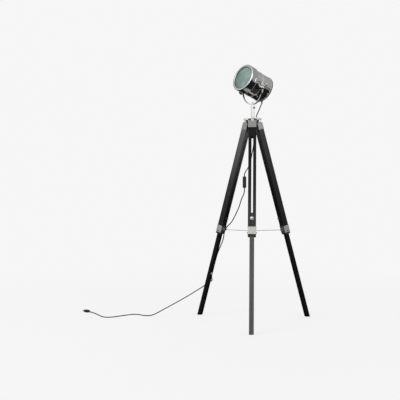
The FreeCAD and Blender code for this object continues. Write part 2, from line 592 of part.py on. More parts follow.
    # bush: a plastic guide under the collar
    bush_top = -COLLAR_BOTTOM
    bush = rounded_bar(BUSH_WIDTH, BUSH_DEPTH, bush_top - BUSH_HEIGHT, bush_top, UPPER_EDGE)
    low_rim = [e for e in bush.Edges if abs(e.CenterOfMass.z - bush_top + BUSH_HEIGHT) < 0.01]
    bush = bush.makeChamfer(BUSH_TAPER, low_rim)
    bush = bush.cut(block(-LOWER_WIDTH / 2 - CLEAR, LOWER_WIDTH / 2 + CLEAR, -LOWER_DEPTH / 2 - CLEAR,
                          LOWER_DEPTH / 2 + CLEAR, bush_top - BUSH_HEIGHT - 1, bush_top + 1))
    add("collar_bush_" + side, placed(bush, place))

    # lower leg, cut level at the floor
    below = (PIVOT_Z + LOWER_WIDTH) / math.cos(tilt)
    lower = rounded_bar(LOWER_WIDTH, LOWER_DEPTH, -below, -LOWER_TOP, LOWER_EDGE)
    lower = lower.cut(rod(V(0, -LOWER_DEPTH, -CLAMP_DISTANCE), V(0, LOWER_DEPTH, -CLAMP_DISTANCE),
                          CLAMP_BOLT_RADIUS + CLEAR))
    lower = placed(lower, place)
    span = FOOT_RADIUS * 2
    lower = lower.cut(block(-span, span, -span, span, -span, 0))
    add("lower_leg_" + side, lower)

    # clamp bolt: domed head and washer outside, wing nut with its washer inside
    face = UPPER_DEPTH / 2 + CLEAR
    z = -CLAMP_DISTANCE
    washer_y = face + CLAMP_WASHER_THICK
    tip = -face - CLAMP_WASHER_THICK - FLAT_GAP - WING_NUT_HEIGHT
    bolt = rod(V(0, tip, z), V(0, washer_y, z), CLAMP_BOLT_RADIUS)
    bolt = bolt.fuse(rod(V(0, face, z), V(0, washer_y, z), CLAMP_WASHER_RADIUS))
    dome_r = (CLAMP_HEAD_RADIUS ** 2 + CLAMP_HEAD_HEIGHT ** 2) / (2 * CLAMP_HEAD_HEIGHT)
    dome = Part.makeSphere(dome_r, V(0, washer_y + CLAMP_HEAD_HEIGHT - dome_r, z))
    dome = dome.common(block(-CLAMP_HEAD_RADIUS * 2, CLAMP_HEAD_RADIUS * 2, washer_y,
                             washer_y + CLAMP_HEAD_HEIGHT * 2, z - CLAMP_HEAD_RADIUS * 2,
                             z + CLAMP_HEAD_RADIUS * 2))
    bolt = bolt.fuse(dome)
    add("clamp_bolt_" + side, placed(bolt.removeSplitter(), place))

    bore = CLAMP_BOLT_RADIUS + CLEAR / 2
    nut = rod(V(0, -face, z), V(0, -face - CLAMP_WASHER_THICK, z), CLAMP_WASHER_RADIUS)
    nut = nut.fuse(rod(V(0, -face, z), V(0, tip, z), WING_NUT_RADIUS))
    for hand in (-1, 1):
        inner, outer = sorted((0, hand * WING_SPAN))
        wing = block(inner, outer, tip - 1.5, tip - 1.5 + WING_HEIGHT, z - WING_THICK / 2, z + WING_THICK / 2)
        nut = nut.fuse(wing)
    nut = nut.cut(rod(V(0, 0, z), V(0, tip - 3, z), bore))
    add("wing_nut_" + side, placed(nut.removeSplitter(), place))


# ---------------------------------------------------------------- yoke and its knobs
def make_yoke():
    bottom = YOKE_BOTTOM_Z - TILT_Z
    centre_z = bottom + YOKE_OUTER
    half = YOKE_STRAP_WIDTH / 2
    outer = rod(V(0, -half, centre_z), V(0, half, centre_z), YOKE_OUTER)
    inner = rod(V(0, -half - 1, centre_z), V(0, half + 1, centre_z), YOKE_INNER)
    strap = outer.cut(inner).common(block(-YOKE_OUTER, YOKE_OUTER, -half, half, bottom, centre_z))
    for hand in (-1, 1):
        x0, x1 = sorted((hand * YOKE_INNER, hand * YOKE_OUTER))
        strap = strap.fuse(block(x0, x1, -half, half, centre_z, 0))
        ear = rod(V(x0, 0, 0), V(x1, 0, 0), YOKE_EAR_RADIUS)
        strap = strap.fuse(ear)
    strap = strap.cut(rod(V(-YOKE_OUTER - 1, 0, 0), V(YOKE_OUTER + 1, 0, 0), STUD_RADIUS + CLEAR))
    strap = strap.cut(rod(V(0, 0, bottom - 1), V(0, 0, bottom + YOKE_THICK + 2), SPIGOT_STUD_RADIUS + FLAT_GAP))
    add("yoke_strap", placed(strap.removeSplitter(), yoke_place()))

    # spigot: turns in the stem, with a collar under the strap and a dome nut above it
    top = YOKE_BOTTOM_Z
    sagitta = YOKE_INNER - math.sqrt(YOKE_INNER ** 2 - DOME_NUT_RADIUS ** 2)
    nut_foot = top + YOKE_THICK + sagitta + FLAT_GAP
    spigot = Part.makeCylinder(SPIGOT_RADIUS, SPIGOT_LENGTH, V(0, 0, top - SPIGOT_LENGTH))
    spigot = spigot.fuse(Part.makeCylinder(STEM_RADIUS, SPIGOT_COLLAR_THICK - FLAT_GAP,
                                           V(0, 0, top - SPIGOT_COLLAR_THICK)))
    spigot = spigot.fuse(Part.makeCylinder(SPIGOT_STUD_RADIUS, nut_foot + 2 - top, V(0, 0, top - 2)))
    corners = [V(DOME_NUT_RADIUS * math.cos(k * math.pi / 3), DOME_NUT_RADIUS * math.sin(k * math.pi / 3),
                 nut_foot) for k in range(7)]
    hexagon = Part.Face(Part.makePolygon(corners)).extrude(V(0, 0, DOME_NUT_HEIGHT))
    dome_radius = DOME_NUT_RADIUS * math.cos(math.pi / 6) * 0.97
    dome = Part.makeSphere(dome_radius, V(0, 0, nut_foot + DOME_NUT_HEIGHT))
    dome = dome.common(block(-20, 20, -20, 20, nut_foot + 1, nut_foot + DOME_NUT_HEIGHT + dome_radius))
    add("yoke_spigot", spigot.fuse(hexagon).fuse(dome).removeSplitter())


def tilt_stud(end):
    """The stud of a tilt fastener with its washer, for the far side."""
    x = YOKE_OUTER + FLAT_GAP
    shaft = rod(V(lug_inner_x() + 1.0, 0, 0), V(end, 0, 0), STUD_RADIUS)
    return shaft.fuse(rod(V(x, 0, 0), V(x + KNOB_WASHER_THICK, 0, 0), KNOB_WASHER_RADIUS))


def make_far_knob():
    """A fluted handwheel on its stud."""
    x = YOKE_OUTER + FLAT_GAP
    neck_end = x + KNOB_WASHER_THICK + KNOB_NECK_LENGTH
    neck = rod(V(x, 0, 0), V(neck_end, 0, 0), KNOB_HUB_RADIUS)
    wheel = rod(V(neck_end - 0.5, 0, 0), V(neck_end + KNOB_THICK, 0, 0), KNOB_RADIUS)
    wheel = wheel.makeFillet(2.5, [e for e in wheel.Edges if len(e.Vertexes) == 1])
    for k in range(KNOB_FLUTES):
        a = 2 * math.pi * k / KNOB_FLUTES
        centre = V(0, math.cos(a), math.sin(a)) * (KNOB_RADIUS + KNOB_FLUTE_RADIUS * 0.45)
        wheel = wheel.cut(rod(centre + V(neck_end - 2, 0, 0), centre + V(neck_end + KNOB_THICK + 2, 0, 0),
                              KNOB_FLUTE_RADIUS))
    cap = rod(V(neck_end, 0, 0), V(neck_end + KNOB_THICK + KNOB_CAP_HEIGHT, 0, 0), KNOB_HUB_RADIUS)
    cap = cap.makeFillet(2.0, [e for e in cap.Edges if len(e.Vertexes) == 1])
    knob = tilt_stud(x + 2).fuse(neck).fuse(wheel).fuse(cap).removeSplitter()
    add("tilt_knob_far", placed(knob, yoke_place()))


def make_near_lever():
    """A clamp lever: a domed hub on the stud and a tapered arm that ends in a ball."""
    x = YOKE_OUTER + FLAT_GAP
    hub_end = x + KNOB_WASHER_THICK + LEVER_HUB_LENGTH
    hub = rod(V(x, 0, 0), V(hub_end, 0, 0), KNOB_HUB_RADIUS)
    hub = hub.makeFillet(3.0, [e for e in hub.Edges if len(e.Vertexes) == 1 and e.Vertexes[0].Point.x > hub_end - 0.01])
    root = V(x + KNOB_WASHER_THICK + LEVER_ROOT, 0, 0)
    ball = V(YOKE_OUTER + LEVER_OUT, 0, LEVER_UP)
    way = ball - root
    arm = Part.makeCone(LEVER_ROOT_RADIUS, LEVER_TIP_RADIUS, way.Length, root, way)
    lever = tilt_stud(hub_end - 4).fuse(hub).fuse(arm).fuse(Part.makeSphere(LEVER_BALL_RADIUS, ball))
    lever = lever.removeSplitter().mirror(V(0, 0, 0), V(1, 0, 0))
    add("tilt_knob_near", placed(lever, yoke_place()))


def lug_inner_x():
    """Where the drum's surface lies beside the top of a stud."""
    return math.sqrt(DRUM_RADIUS ** 2 - (DRUM_RISE - STUD_RADIUS) ** 2)


# ---------------------------------------------------------------- head
def head_node(name, *solids):
    add(name, *[placed(s, head_place()) for s in solids])


def drum_point(angle, radius, station):
    """A point about the drum's axis; angle 0 is the far side, 90 the top."""
    a = math.radians(angle)
    return V(radius * math.cos(a), station, DRUM_RISE + radius * math.sin(a))


def rear_screw_angles():
    return [45 + 360.0 * k / REAR_SCREWS for k in range(REAR_SCREWS)]


def make_drum():
    inner = DRUM_RADIUS - DRUM_WALL
    bead0 = BEAD_STATION - BEAD_WIDTH / 2
    bead1 = BEAD_STATION + BEAD_WIDTH / 2
    drum = turned([(inner, DRUM_BACK), (DRUM_RADIUS, DRUM_BACK), (DRUM_RADIUS, bead0),
                   (DRUM_RADIUS, bead1), (DRUM_RADIUS, DRUM_FRONT), (inner, DRUM_FRONT)],
                  {2: (DRUM_RADIUS + BEAD_PROUD, BEAD_STATION)})
    edge = CAP_RIM_RADIUS - 4
    half = edge / 2
    cap = turned([(DRUM_RADIUS + FLAT_GAP, REAR_CAP_FRONT), (CAP_RIM_RADIUS, REAR_CAP_FRONT),
                  (CAP_RIM_RADIUS, REAR_CAP_BACK + 2), (CAP_RIM_RADIUS - 2, REAR_CAP_BACK),
                  (0, REAR_CAP_BACK - REAR_CAP_CROWN), (0, REAR_CAP_BACK - REAR_CAP_CROWN + DRUM_WALL),
                  (edge, REAR_CAP_BACK + DRUM_WALL), (DRUM_RADIUS + FLAT_GAP, REAR_CAP_BACK + 3)],
                 {2: (CAP_RIM_RADIUS - 0.6, REAR_CAP_BACK + 0.6),
                  3: (half, REAR_CAP_BACK - crown(edge + 2, REAR_CAP_CROWN, half)),
                  5: (half, REAR_CAP_BACK + DRUM_WALL - crown(edge, REAR_CAP_CROWN, half))})
    station = (REAR_CAP_FRONT + DRUM_BACK) / 2
    screws = []
    for angle in rear_screw_angles():
        hole = rod(drum_point(angle, DRUM_RADIUS - 6, station), drum_point(angle, CAP_RIM_RADIUS + 2, station),
                   REAR_SCREW_RADIUS + CLEAR)
        drum = drum.cut(hole)
        cap = cap.cut(hole)
        head_foot = CAP_RIM_RADIUS + FLAT_GAP
        head = rod(drum_point(angle, head_foot, station),
                   drum_point(angle, head_foot + REAR_SCREW_HEAD_HEIGHT, station), REAR_SCREW_HEAD_RADIUS)
        shaft = rod(drum_point(angle, inner - 3, station), drum_point(angle, head_foot + 1, station),
                    REAR_SCREW_RADIUS)
        screws.append(head.fuse(shaft))
    head_node("head_drum", drum)
    head_node("rear_cap", cap)
    head_node("rear_cap_screws", *screws)


def door_axes():
    """Outward and upward directions at the hinge of the front ring."""
    a = math.radians(DOOR_DROP_ANGLE)
    return V(-math.cos(a), 0, -math.sin(a)), V(-math.sin(a), 0, math.cos(a))


def door_block(outward, upward, r0, r1, y0, y1, t0, t1):
    """A block beside the drum, from radial, station and tangential limits."""
    origin = V(0, 0, DRUM_RISE) + outward * r0 + upward * t0 + V(0, y0, 0)
    corners = [origin, origin + outward * (r1 - r0), origin + outward * (r1 - r0) + upward * (t1 - t0),
               origin + upward * (t1 - t0), origin]
    return Part.Face(Part.makePolygon(corners)).extrude(V(0, y1 - y0, 0))


def make_front():
    outward, upward = door_axes()
    axis = V(0, SEAM_STATION, DRUM_RISE) + outward * DOOR_HINGE_RADIUS
    foot = RIM_RADIUS - 1.2
    knuckle_clear = DOOR_KNUCKLE_RADIUS + 0.6
    outer_start = DOOR_MIDDLE_HALF + 0.2

    # fixed flange on the drum, with two knuckles and the ear that takes the screw
    flange = turned([(DRUM_RADIUS + FLAT_GAP, FLANGE_BACK), (RIM_RADIUS - 2, FLANGE_BACK),
                     (RIM_RADIUS, FLANGE_BACK + 2), (RIM_RADIUS, FLANGE_FRONT),
                     (DRUM_RADIUS + FLAT_GAP, FLANGE_FRONT)],
                    {1: (RIM_RADIUS - 0.6, FLANGE_BACK + 0.6)})
    leaf_end = SEAM_STATION - knuckle_clear
    flange = flange.fuse(door_block(outward, upward, foot, DOOR_LEAF_TOP, leaf_end - DOOR_LEAF_LENGTH,
                                    leaf_end, -DOOR_BARREL_HALF, DOOR_BARREL_HALF))
    for t0, t1 in ((-DOOR_BARREL_HALF, -outer_start), (outer_start, DOOR_BARREL_HALF)):
        flange = flange.fuse(door_block(outward, upward, RIM_RADIUS + 0.4, DOOR_HINGE_RADIUS,
                                        leaf_end - 1, SEAM_STATION, t0, t1))
        flange = flange.fuse(rod(axis + upward * t0, axis + upward * t1, DOOR_KNUCKLE_RADIUS))
    # the screw's ear stands opposite the hinge
    across = outward * -1
    flange = flange.fuse(door_block(across, upward, foot, DOOR_EAR_RADIUS, FLANGE_FRONT - DOOR_EAR_LENGTH - 1.4,
                                    FLANGE_FRONT, -DOOR_EAR_HALF, DOOR_EAR_HALF))
    screw_radius = (RIM_RADIUS + DOOR_EAR_RADIUS) / 2
    screw_foot = V(0, SEAM_STATION, DRUM_RISE) + across * screw_radius
    hole_reach = DOOR_BARREL_HALF * 2
    pin_hole = rod(axis - upward * hole_reach, axis + upward * hole_reach, DOOR_PIN_RADIUS + CLEAR / 2)
    flange = flange.cut(pin_hole)
    ear_through = DOOR_EAR_LENGTH * 3
    flange = flange.cut(rod(screw_foot - V(0, ear_through, 0), screw_foot, DOOR_SCREW_RADIUS + 0.4))
    head_node("front_flange", flange.removeSplitter())

    # hinged front ring, with the middle knuckle and its own ear
    front = turned([(RIM_RADIUS - RIM_WALL, RING_BACK), (RIM_RADIUS, RING_BACK),
                    (RIM_RADIUS, RIM_FRONT - RIM_ROUND), (RIM_RADIUS - RIM_ROUND, RIM_FRONT),
                    (OPENING_RADIUS + 2, RIM_FRONT), (OPENING_RADIUS, RIM_FRONT - 1.6),
                    (OPENING_RADIUS, LIP_BACK), (RIM_RADIUS - RIM_WALL, LIP_BACK)],
                   {2: (RIM_RADIUS - RIM_ROUND * 0.293, RIM_FRONT - RIM_ROUND * 0.293),
                    4: (OPENING_RADIUS + 0.6, RIM_FRONT - 0.5)})
    leaf_start = SEAM_STATION + knuckle_clear
    front = front.fuse(door_block(outward, upward, foot, DOOR_LEAF_TOP, leaf_start,
                                  leaf_start + DOOR_LEAF_LENGTH, -DOOR_BARREL_HALF, DOOR_BARREL_HALF))
    front = front.fuse(door_block(outward, upward, RIM_RADIUS + 0.4, DOOR_HINGE_RADIUS, SEAM_STATION,
                                  leaf_start + 1, -DOOR_MIDDLE_HALF, DOOR_MIDDLE_HALF))
    front = front.fuse(rod(axis - upward * DOOR_MIDDLE_HALF, axis + upward * DOOR_MIDDLE_HALF,
                           DOOR_KNUCKLE_RADIUS))
    front = front.fuse(door_block(across, upward, foot, DOOR_EAR_RADIUS, RING_BACK,
                                  RING_BACK + DOOR_EAR_LENGTH, -DOOR_EAR_HALF, DOOR_EAR_HALF))
    front = front.cut(pin_hole)
    front = front.cut(rod(screw_foot, screw_foot + V(0, ear_through, 0), DOOR_SCREW_RADIUS + FLAT_GAP))
    head_node("bezel_ring", front.removeSplitter())

    pin_reach = DOOR_BARREL_HALF + 1.2
    pin = rod(axis - upward * pin_reach, axis + upward * (DOOR_BARREL_HALF + 0.2), DOOR_PIN_RADIUS)
    pin = pin.fuse(rod(axis + upward * (DOOR_BARREL_HALF + FLAT_GAP), axis + upward * (pin_reach + 0.4),
                       DOOR_KNUCKLE_RADIUS - 0.6))
    head_node("door_hinge_pin", pin.removeSplitter())

    head_y = RING_BACK + DOOR_EAR_LENGTH - SEAM_STATION + FLAT_GAP
    screw = rod(screw_foot - V(0, DOOR_SCREW_REACH, 0), screw_foot + V(0, head_y + 1, 0), DOOR_SCREW_RADIUS)
    grip = rod(screw_foot + V(0, head_y, 0), screw_foot + V(0, head_y + DOOR_SCREW_HEAD_HEIGHT, 0),
               DOOR_SCREW_HEAD_RADIUS)
    grip = grip.makeFillet(0.9, [e for e in grip.Edges if len(e.Vertexes) == 1])
    head_node("door_screw", screw.fuse(grip).removeSplitter())

    # gasket behind the lip, and the frosted glass on it
    head_node("glass_gasket", turned([(GASKET_INNER_RADIUS, GASKET_BACK), (GLASS_RADIUS, GASKET_BACK),
                                      (GLASS_RADIUS, GASKET_BACK + GASKET_THICK),
                                      (GASKET_INNER_RADIUS, GASKET_BACK + GASKET_THICK)]))
    glass_back = GASKET_BACK - GLASS_THICK
    dome_radius = GASKET_INNER_RADIUS - 1
    head_node("front_glass", turned([(0, glass_back), (GLASS_RADIUS, glass_back),
                                     (GLASS_RADIUS, GASKET_BACK), (dome_radius, GASKET_BACK),
                                     (0, GASKET_BACK + GLASS_CROWN)],
                                    {3: (dome_radius / 2,
                                         GASKET_BACK + crown(dome_radius, GLASS_CROWN, dome_radius / 2))}))


def make_lighting():
    wall = REFLECTOR_WALL
    rim = DRUM_RADIUS - DRUM_WALL - FLAT_GAP
    neck = REFLECTOR_NECK_RADIUS
    middle = (REFLECTOR_RADIUS * 0.68, (REFLECTOR_MOUTH + REFLECTOR_NECK) / 2 - 6)
    head_node("reflector", turned([(neck, REFLECTOR_NECK), (REFLECTOR_RADIUS, REFLECTOR_MOUTH - wall),
                                   (rim, REFLECTOR_MOUTH - wall), (rim, REFLECTOR_MOUTH),
                                   (REFLECTOR_RADIUS - wall, REFLECTOR_MOUTH),
                                   (neck, REFLECTOR_NECK + wall * 1.4)],
                                  {0: middle, 4: (middle[0] - wall * 0.6, middle[1] + wall * 0.9)}))
    back = SOCKET_FRONT - SOCKET_LENGTH
    tube_back = REAR_CAP_BACK - REAR_CAP_CROWN + DRUM_WALL + 0.3
    head_node("lamp_socket", turned([(0, tube_back), (SOCKET_TUBE_RADIUS, tube_back),
                                     (SOCKET_TUBE_RADIUS, back), (SOCKET_RADIUS, back),
                                     (SOCKET_RADIUS, SOCKET_FRONT), (0, SOCKET_FRONT)]))
    neck_front = SOCKET_FRONT + FLAT_GAP + BULB_NECK_LENGTH
    centre = neck_front + math.sqrt(BULB_RADIUS ** 2 - BULB_NECK_RADIUS ** 2)
    head_node("bulb", turned([(0, SOCKET_FRONT + FLAT_GAP), (BULB_NECK_RADIUS, SOCKET_FRONT + FLAT_GAP),
                              (BULB_NECK_RADIUS, neck_front), (0, centre + BULB_RADIUS)],
                             {2: (BULB_RADIUS, centre)}))


def make_mounting():
    """Saddle plates on the drum's sides with the bosses for the tilt studs, and the gland."""
    outer = rod(V(0, SADDLE_BACK, DRUM_RISE), V(0, FLANGE_BACK - FLAT_GAP, DRUM_RISE),
                DRUM_RADIUS + FLAT_GAP + SADDLE_THICK)
    core = rod(V(0, DRUM_BACK, DRUM_RISE), V(0, RIM_FRONT, DRUM_RISE), DRUM_RADIUS + FLAT_GAP)
    bead = turned([(0, BEAD_STATION - BEAD_WIDTH), (DRUM_RADIUS + BEAD_PROUD + CLEAR, BEAD_STATION - BEAD_WIDTH),
                   (DRUM_RADIUS + BEAD_PROUD + CLEAR, BEAD_STATION + BEAD_WIDTH),
                   (0, BEAD_STATION + BEAD_WIDTH)])
    lugs = []
    for hand in (-1, 1):
        x0, x1 = sorted((hand * LUG_ROOT, hand * (DRUM_RADIUS + 8)))
        saddle = outer.common(block(x0, x1, SADDLE_BACK, FLANGE_BACK - FLAT_GAP, SADDLE_LOW, SADDLE_HIGH))
        boss = rod(V(hand * LUG_ROOT, 0, 0), V(hand * (YOKE_INNER - LUG_GAP), 0, 0), LUG_RADIUS)
        lug = saddle.fuse(boss).cut(core).cut(bead)
        lug = lug.cut(rod(V(hand * LUG_ROOT, 0, 0), V(hand * (YOKE_INNER + 5), 0, 0), STUD_RADIUS + CLEAR))
        lugs.append(lug.removeSplitter())
    head_node("pivot_lugs", *lugs)

    axis_point, out = gland_line()
    foot = axis_point + out * (DRUM_RADIUS - 1)
    nut_end = axis_point + out * (DRUM_RADIUS + GLAND_NUT_HEIGHT)
    nut = rod(foot, nut_end, GLAND_NUT_RADIUS)
    body = Part.makeCone(GLAND_BODY_RADIUS, CORD_RADIUS + 0.8, GLAND_LENGTH - GLAND_NUT_HEIGHT, nut_end, out)
    gland = nut.fuse(body).cut(core)
    head_node("cable_gland", gland.removeSplitter())


def gland_line():
    """The foot and the outward direction of the gland, in the head's frame."""
    drop = math.sqrt(DRUM_RADIUS ** 2 - GLAND_X ** 2)
    return V(0, GLAND_STATION, DRUM_RISE), V(GLAND_X, 0, -drop).normalize()


# ---------------------------------------------------------------- cord and what is on it
def make_cord():
    foot, out = gland_line()
    tip = head_place().multVec(foot + out * (DRUM_RADIUS + GLAND_LENGTH))
    leaving = head_place().multVec(foot + out * (DRUM_RADIUS + GLAND_LENGTH + CORD_STRAIGHT))
    hole = V(CORD_HOLE_X, CORD_HOLE_Y, HUB_TOP_Z)
    switch_top = V(SWITCH_X, SWITCH_Y, SWITCH_TOP_Z)
    switch_bottom = V(SWITCH_X, SWITCH_Y, SWITCH_BOTTOM_Z)
    total = tube("cord_head", [tip, leaving] + ROUTE_HEAD)
    total += tube("cord_yoke", ROUTE_HEAD[-1:] + ROUTE_YOKE + [hole])
    total += tube("cord_drop", [hole] + ROUTE_DROP + [switch_top])
    total += tube("cord_leg_upper", [switch_bottom] + ROUTE_UPPER_LEG)
    at_clip = clip_point(0)
    total += tube("cord_leg_lower", ROUTE_LOWER_LEG + [clip_point(CLIP_STRAIGHT_ABOVE), at_clip])
    total += tube("cord_air", [at_clip, clip_point(-CLIP_STRAIGHT_BELOW)] + ROUTE_AIR)
    total += tube("cord_floor", ROUTE_FLOOR)
    print("cord in all: %.0f" % total)

    # inline switch: an oval case with its rocker on the front
    case = block(SWITCH_X - SWITCH_WIDTH / 2, SWITCH_X + SWITCH_WIDTH / 2, SWITCH_Y - SWITCH_THICK / 2,
                 SWITCH_Y + SWITCH_THICK / 2, SWITCH_BOTTOM_Z, SWITCH_TOP_Z)
    case = case.makeFillet(SWITCH_EDGE, case.Edges)
    front_y = SWITCH_Y - SWITCH_THICK / 2
    middle_z = (SWITCH_TOP_Z + SWITCH_BOTTOM_Z) / 2
    rocker_depth = 4.0
    pocket = block(SWITCH_X - ROCKER_WIDTH / 2 - 0.4, SWITCH_X + ROCKER_WIDTH / 2 + 0.4, front_y - 1,
                   front_y + rocker_depth + 1, middle_z - ROCKER_LENGTH / 2 - 0.6,
                   middle_z + ROCKER_LENGTH / 2 + 0.6)
    add("switch_case", case.cut(pocket))
    # the rocker is part of a drum about its pivot, with a shallow saddle on its face
    pivot = V(SWITCH_X, front_y + rocker_depth, middle_z)
    radius = math.hypot(ROCKER_LENGTH / 2, rocker_depth)
    rocker = rod(pivot - V(ROCKER_WIDTH / 2, 0, 0), pivot + V(ROCKER_WIDTH / 2, 0, 0), radius)
    rocker = rocker.common(block(pivot.x - ROCKER_WIDTH, pivot.x + ROCKER_WIDTH, front_y - ROCKER_PROUD,
                                 front_y + rocker_depth - 1.5, middle_z - ROCKER_LENGTH / 2,
                                 middle_z + ROCKER_LENGTH / 2))
    saddle_radius = 30.0
    saddle = rod(V(pivot.x - ROCKER_WIDTH, front_y - ROCKER_PROUD + 1.0 - saddle_radius, middle_z),
                 V(pivot.x + ROCKER_WIDTH, front_y - ROCKER_PROUD + 1.0 - saddle_radius, middle_z), saddle_radius)
    add("switch_rocker", rocker.cut(saddle))

    make_clip()
    make_plug()


def clip_point(above):
    """Where the cord passes at a height above the clip's middle, measured along the left leg."""
    y = -LOWER_DEPTH / 2 - CORD_RADIUS - CLIP_ROOM - FLAT_GAP * 4
    return leg_place(LEFT_LEG_ANGLE).multVec(V(0, y, above - CLIP_DISTANCE))


def make_clip():
    """A sleeve that holds the cord to the inner face of the left lower leg."""
    half = CLIP_LENGTH / 2
    room = CORD_RADIUS + CLIP_ROOM
    outer = room + CLIP_WALL
    reach = outer + CLIP_FOOT_SIDE
    middle = leg_place(LEFT_LEG_ANGLE).inverse().multVec(clip_point(0))
    z0, z1 = middle.z - half, middle.z + half
    face_y = -LOWER_DEPTH / 2 - FLAT_GAP
    clip = rod(V(0, middle.y, z0), V(0, middle.y, z1), outer)
    clip = clip.fuse(block(-reach, reach, face_y - CLIP_FOOT_THICK, face_y, z0, z1))
    clip = clip.cut(block(-reach, reach, face_y, face_y + outer, z0 - 1, z1 + 1))
    clip = clip.cut(rod(V(0, middle.y, z0 - 1), V(0, middle.y, z1 + 1), room))
    add("cord_clip", placed(clip, leg_place(LEFT_LEG_ANGLE)))


def make_plug():
    end = V(*ROUTE_FLOOR[-1])
    last = V(*ROUTE_FLOOR[-2])
    out = V(end.x - last.x, end.y - last.y, 0).normalize()
    turn = FreeCAD.Rotation(V(1, 0, 0), out)
    place = FreeCAD.Placement(end, turn)
    neck = Part.makeCone(CORD_RADIUS + 0.7, PLUG_NECK_RADIUS, PLUG_NECK_LENGTH, V(0, 0, 0), V(1, 0, 0))
    x0 = PLUG_NECK_LENGTH - 1
    body = block(x0, x0 + PLUG_LENGTH, -PLUG_WIDTH / 2, PLUG_WIDTH / 2, -PLUG_THICK / 2, PLUG_THICK / 2)
    long_edges = [e for e in body.Edges if abs(e.tangentAt(e.FirstParameter).x) > 0.9]
    body = body.makeFillet(PLUG_THICK * 0.3, long_edges)
    add("plug_body", placed(neck.fuse(body).removeSplitter(), place))
    pins = []
    for hand in (-1, 1):
        y = hand * PIN_SPACING / 2
        foot = x0 + PLUG_LENGTH + FLAT_GAP
        pins.append(placed(rod(V(foot, y, 0), V(foot + PIN_LENGTH, y, 0), PIN_RADIUS), place))
    add("plug_pins", *pins)


# ---------------------------------------------------------------- the whole lamp
make_hub()
make_stem()
make_spreader()
for side_name, leg_angle in LEG_ANGLES.items():
    make_leg(side_name, leg_angle)
make_yoke()
make_near_lever()
make_far_knob()
make_drum()
make_front()
make_lighting()
make_mounting()
make_cord()

os.makedirs("parts", exist_ok=True)
for node_name, shape in nodes.items():
    moved = shape.copy()
    moved.translate(V(0, AXIS_Y, 0))
    bad = not moved.isValid() or any(s.Volume <= 0 for s in moved.Solids) or not moved.Solids
    if bad:
        print("CHECK", node_name, moved.isValid(), len(moved.Solids))
    moved.exportStep("parts/%s.step" % node_name)
print("nodes:", len(nodes), "axis at y = %.2f" % AXIS_Y, "leg tilt %.2f" % LEG_TILT)
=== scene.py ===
"""Dresses the tripod spotlight lamp: materials, cord, chains, small trim, light and camera."""
import bpy
import bmesh
import math
from mathutils import Matrix, Vector


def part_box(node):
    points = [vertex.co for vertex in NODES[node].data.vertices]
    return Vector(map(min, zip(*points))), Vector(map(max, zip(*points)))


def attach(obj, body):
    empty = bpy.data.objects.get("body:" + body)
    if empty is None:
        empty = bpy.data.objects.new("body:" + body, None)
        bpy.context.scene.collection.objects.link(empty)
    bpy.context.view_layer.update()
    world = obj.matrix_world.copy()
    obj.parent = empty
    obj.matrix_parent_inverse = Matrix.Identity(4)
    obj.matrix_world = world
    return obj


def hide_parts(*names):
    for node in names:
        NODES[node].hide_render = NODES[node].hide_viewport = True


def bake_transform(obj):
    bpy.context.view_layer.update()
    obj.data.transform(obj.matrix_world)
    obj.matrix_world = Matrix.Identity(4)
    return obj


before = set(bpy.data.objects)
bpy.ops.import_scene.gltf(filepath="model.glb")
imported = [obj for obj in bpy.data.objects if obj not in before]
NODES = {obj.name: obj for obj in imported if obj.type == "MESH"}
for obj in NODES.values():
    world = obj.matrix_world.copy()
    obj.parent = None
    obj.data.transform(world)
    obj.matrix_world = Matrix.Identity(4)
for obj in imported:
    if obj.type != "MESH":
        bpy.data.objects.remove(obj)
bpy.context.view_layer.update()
SCENE = bpy.context.scene

# ------------------------------------------------------------------ sizes, in metres and degrees
AXIS_Y = 0.09134                    # where the lamp's upright axis stands
LEGS = {"front": 270.0, "right": 30.0, "left": 150.0}
HINGE_RADIUS, HINGE_Z = 0.032, 1.156
FOOT_RADIUS = 0.375
LEG_TILT = math.atan2(FOOT_RADIUS - HINGE_RADIUS, HINGE_Z)
HUB_TOP = 1.171
COLLAR_TOP, COLLAR_LENGTH, COLLAR_WIDTH, COLLAR_DEPTH = 0.6315, 0.041, 0.0465, 0.0362
EYE_RADIUS, EYE_WIRE = 0.006, 0.0015
HEAD_Z, HEAD_PAN, HEAD_TILT = 1.338, 135, 17.6
DRUM_RISE, DRUM_RADIUS, REAR_RADIUS = 0.035, 0.0755, 0.0770
CORD_RADIUS = 0.0029


def about(x, y, z):
    """A point given from the lamp's axis."""
    return Vector((x, y + AXIS_Y, z))


def around(radius, angle, z):
    """A point given by its radius and angle (in radians) round the lamp's axis."""
    return about(radius * math.cos(angle), radius * math.sin(angle), z)


def leg_matrix(side):
    """From a leg's frame: X across, Y outward, Z up the leg, origin at its hinge."""
    a = math.radians(LEGS[side])
    turn = Matrix.Rotation(a - math.pi / 2, 4, "Z") @ Matrix.Rotation(LEG_TILT, 4, "X")
    return Matrix.Translation(around(HINGE_RADIUS, a, HINGE_Z)) @ turn


# from the head's frame: Y along the drum to its front, origin on the tilt axis
HEAD = (Matrix.Translation(about(0, 0, HEAD_Z)) @ Matrix.Rotation(math.radians(HEAD_PAN), 4, "Z")
        @ Matrix.Rotation(math.radians(HEAD_TILT), 4, "X"))


# ------------------------------------------------------------------ mesh makers
def finish_mesh(name, bm, angle):
    """The object, smooth but for edges sharper than the angle."""
    bmesh.ops.recalc_face_normals(bm, faces=bm.faces)
    mesh = bpy.data.meshes.new(name)
    bm.to_mesh(mesh)
    bm.free()
    obj = bpy.data.objects.new(name, mesh)
    SCENE.collection.objects.link(obj)
    mesh.polygons.foreach_set("use_smooth", [True] * len(mesh.polygons))
    mesh.set_sharp_from_angle(angle=math.radians(angle))
    return obj


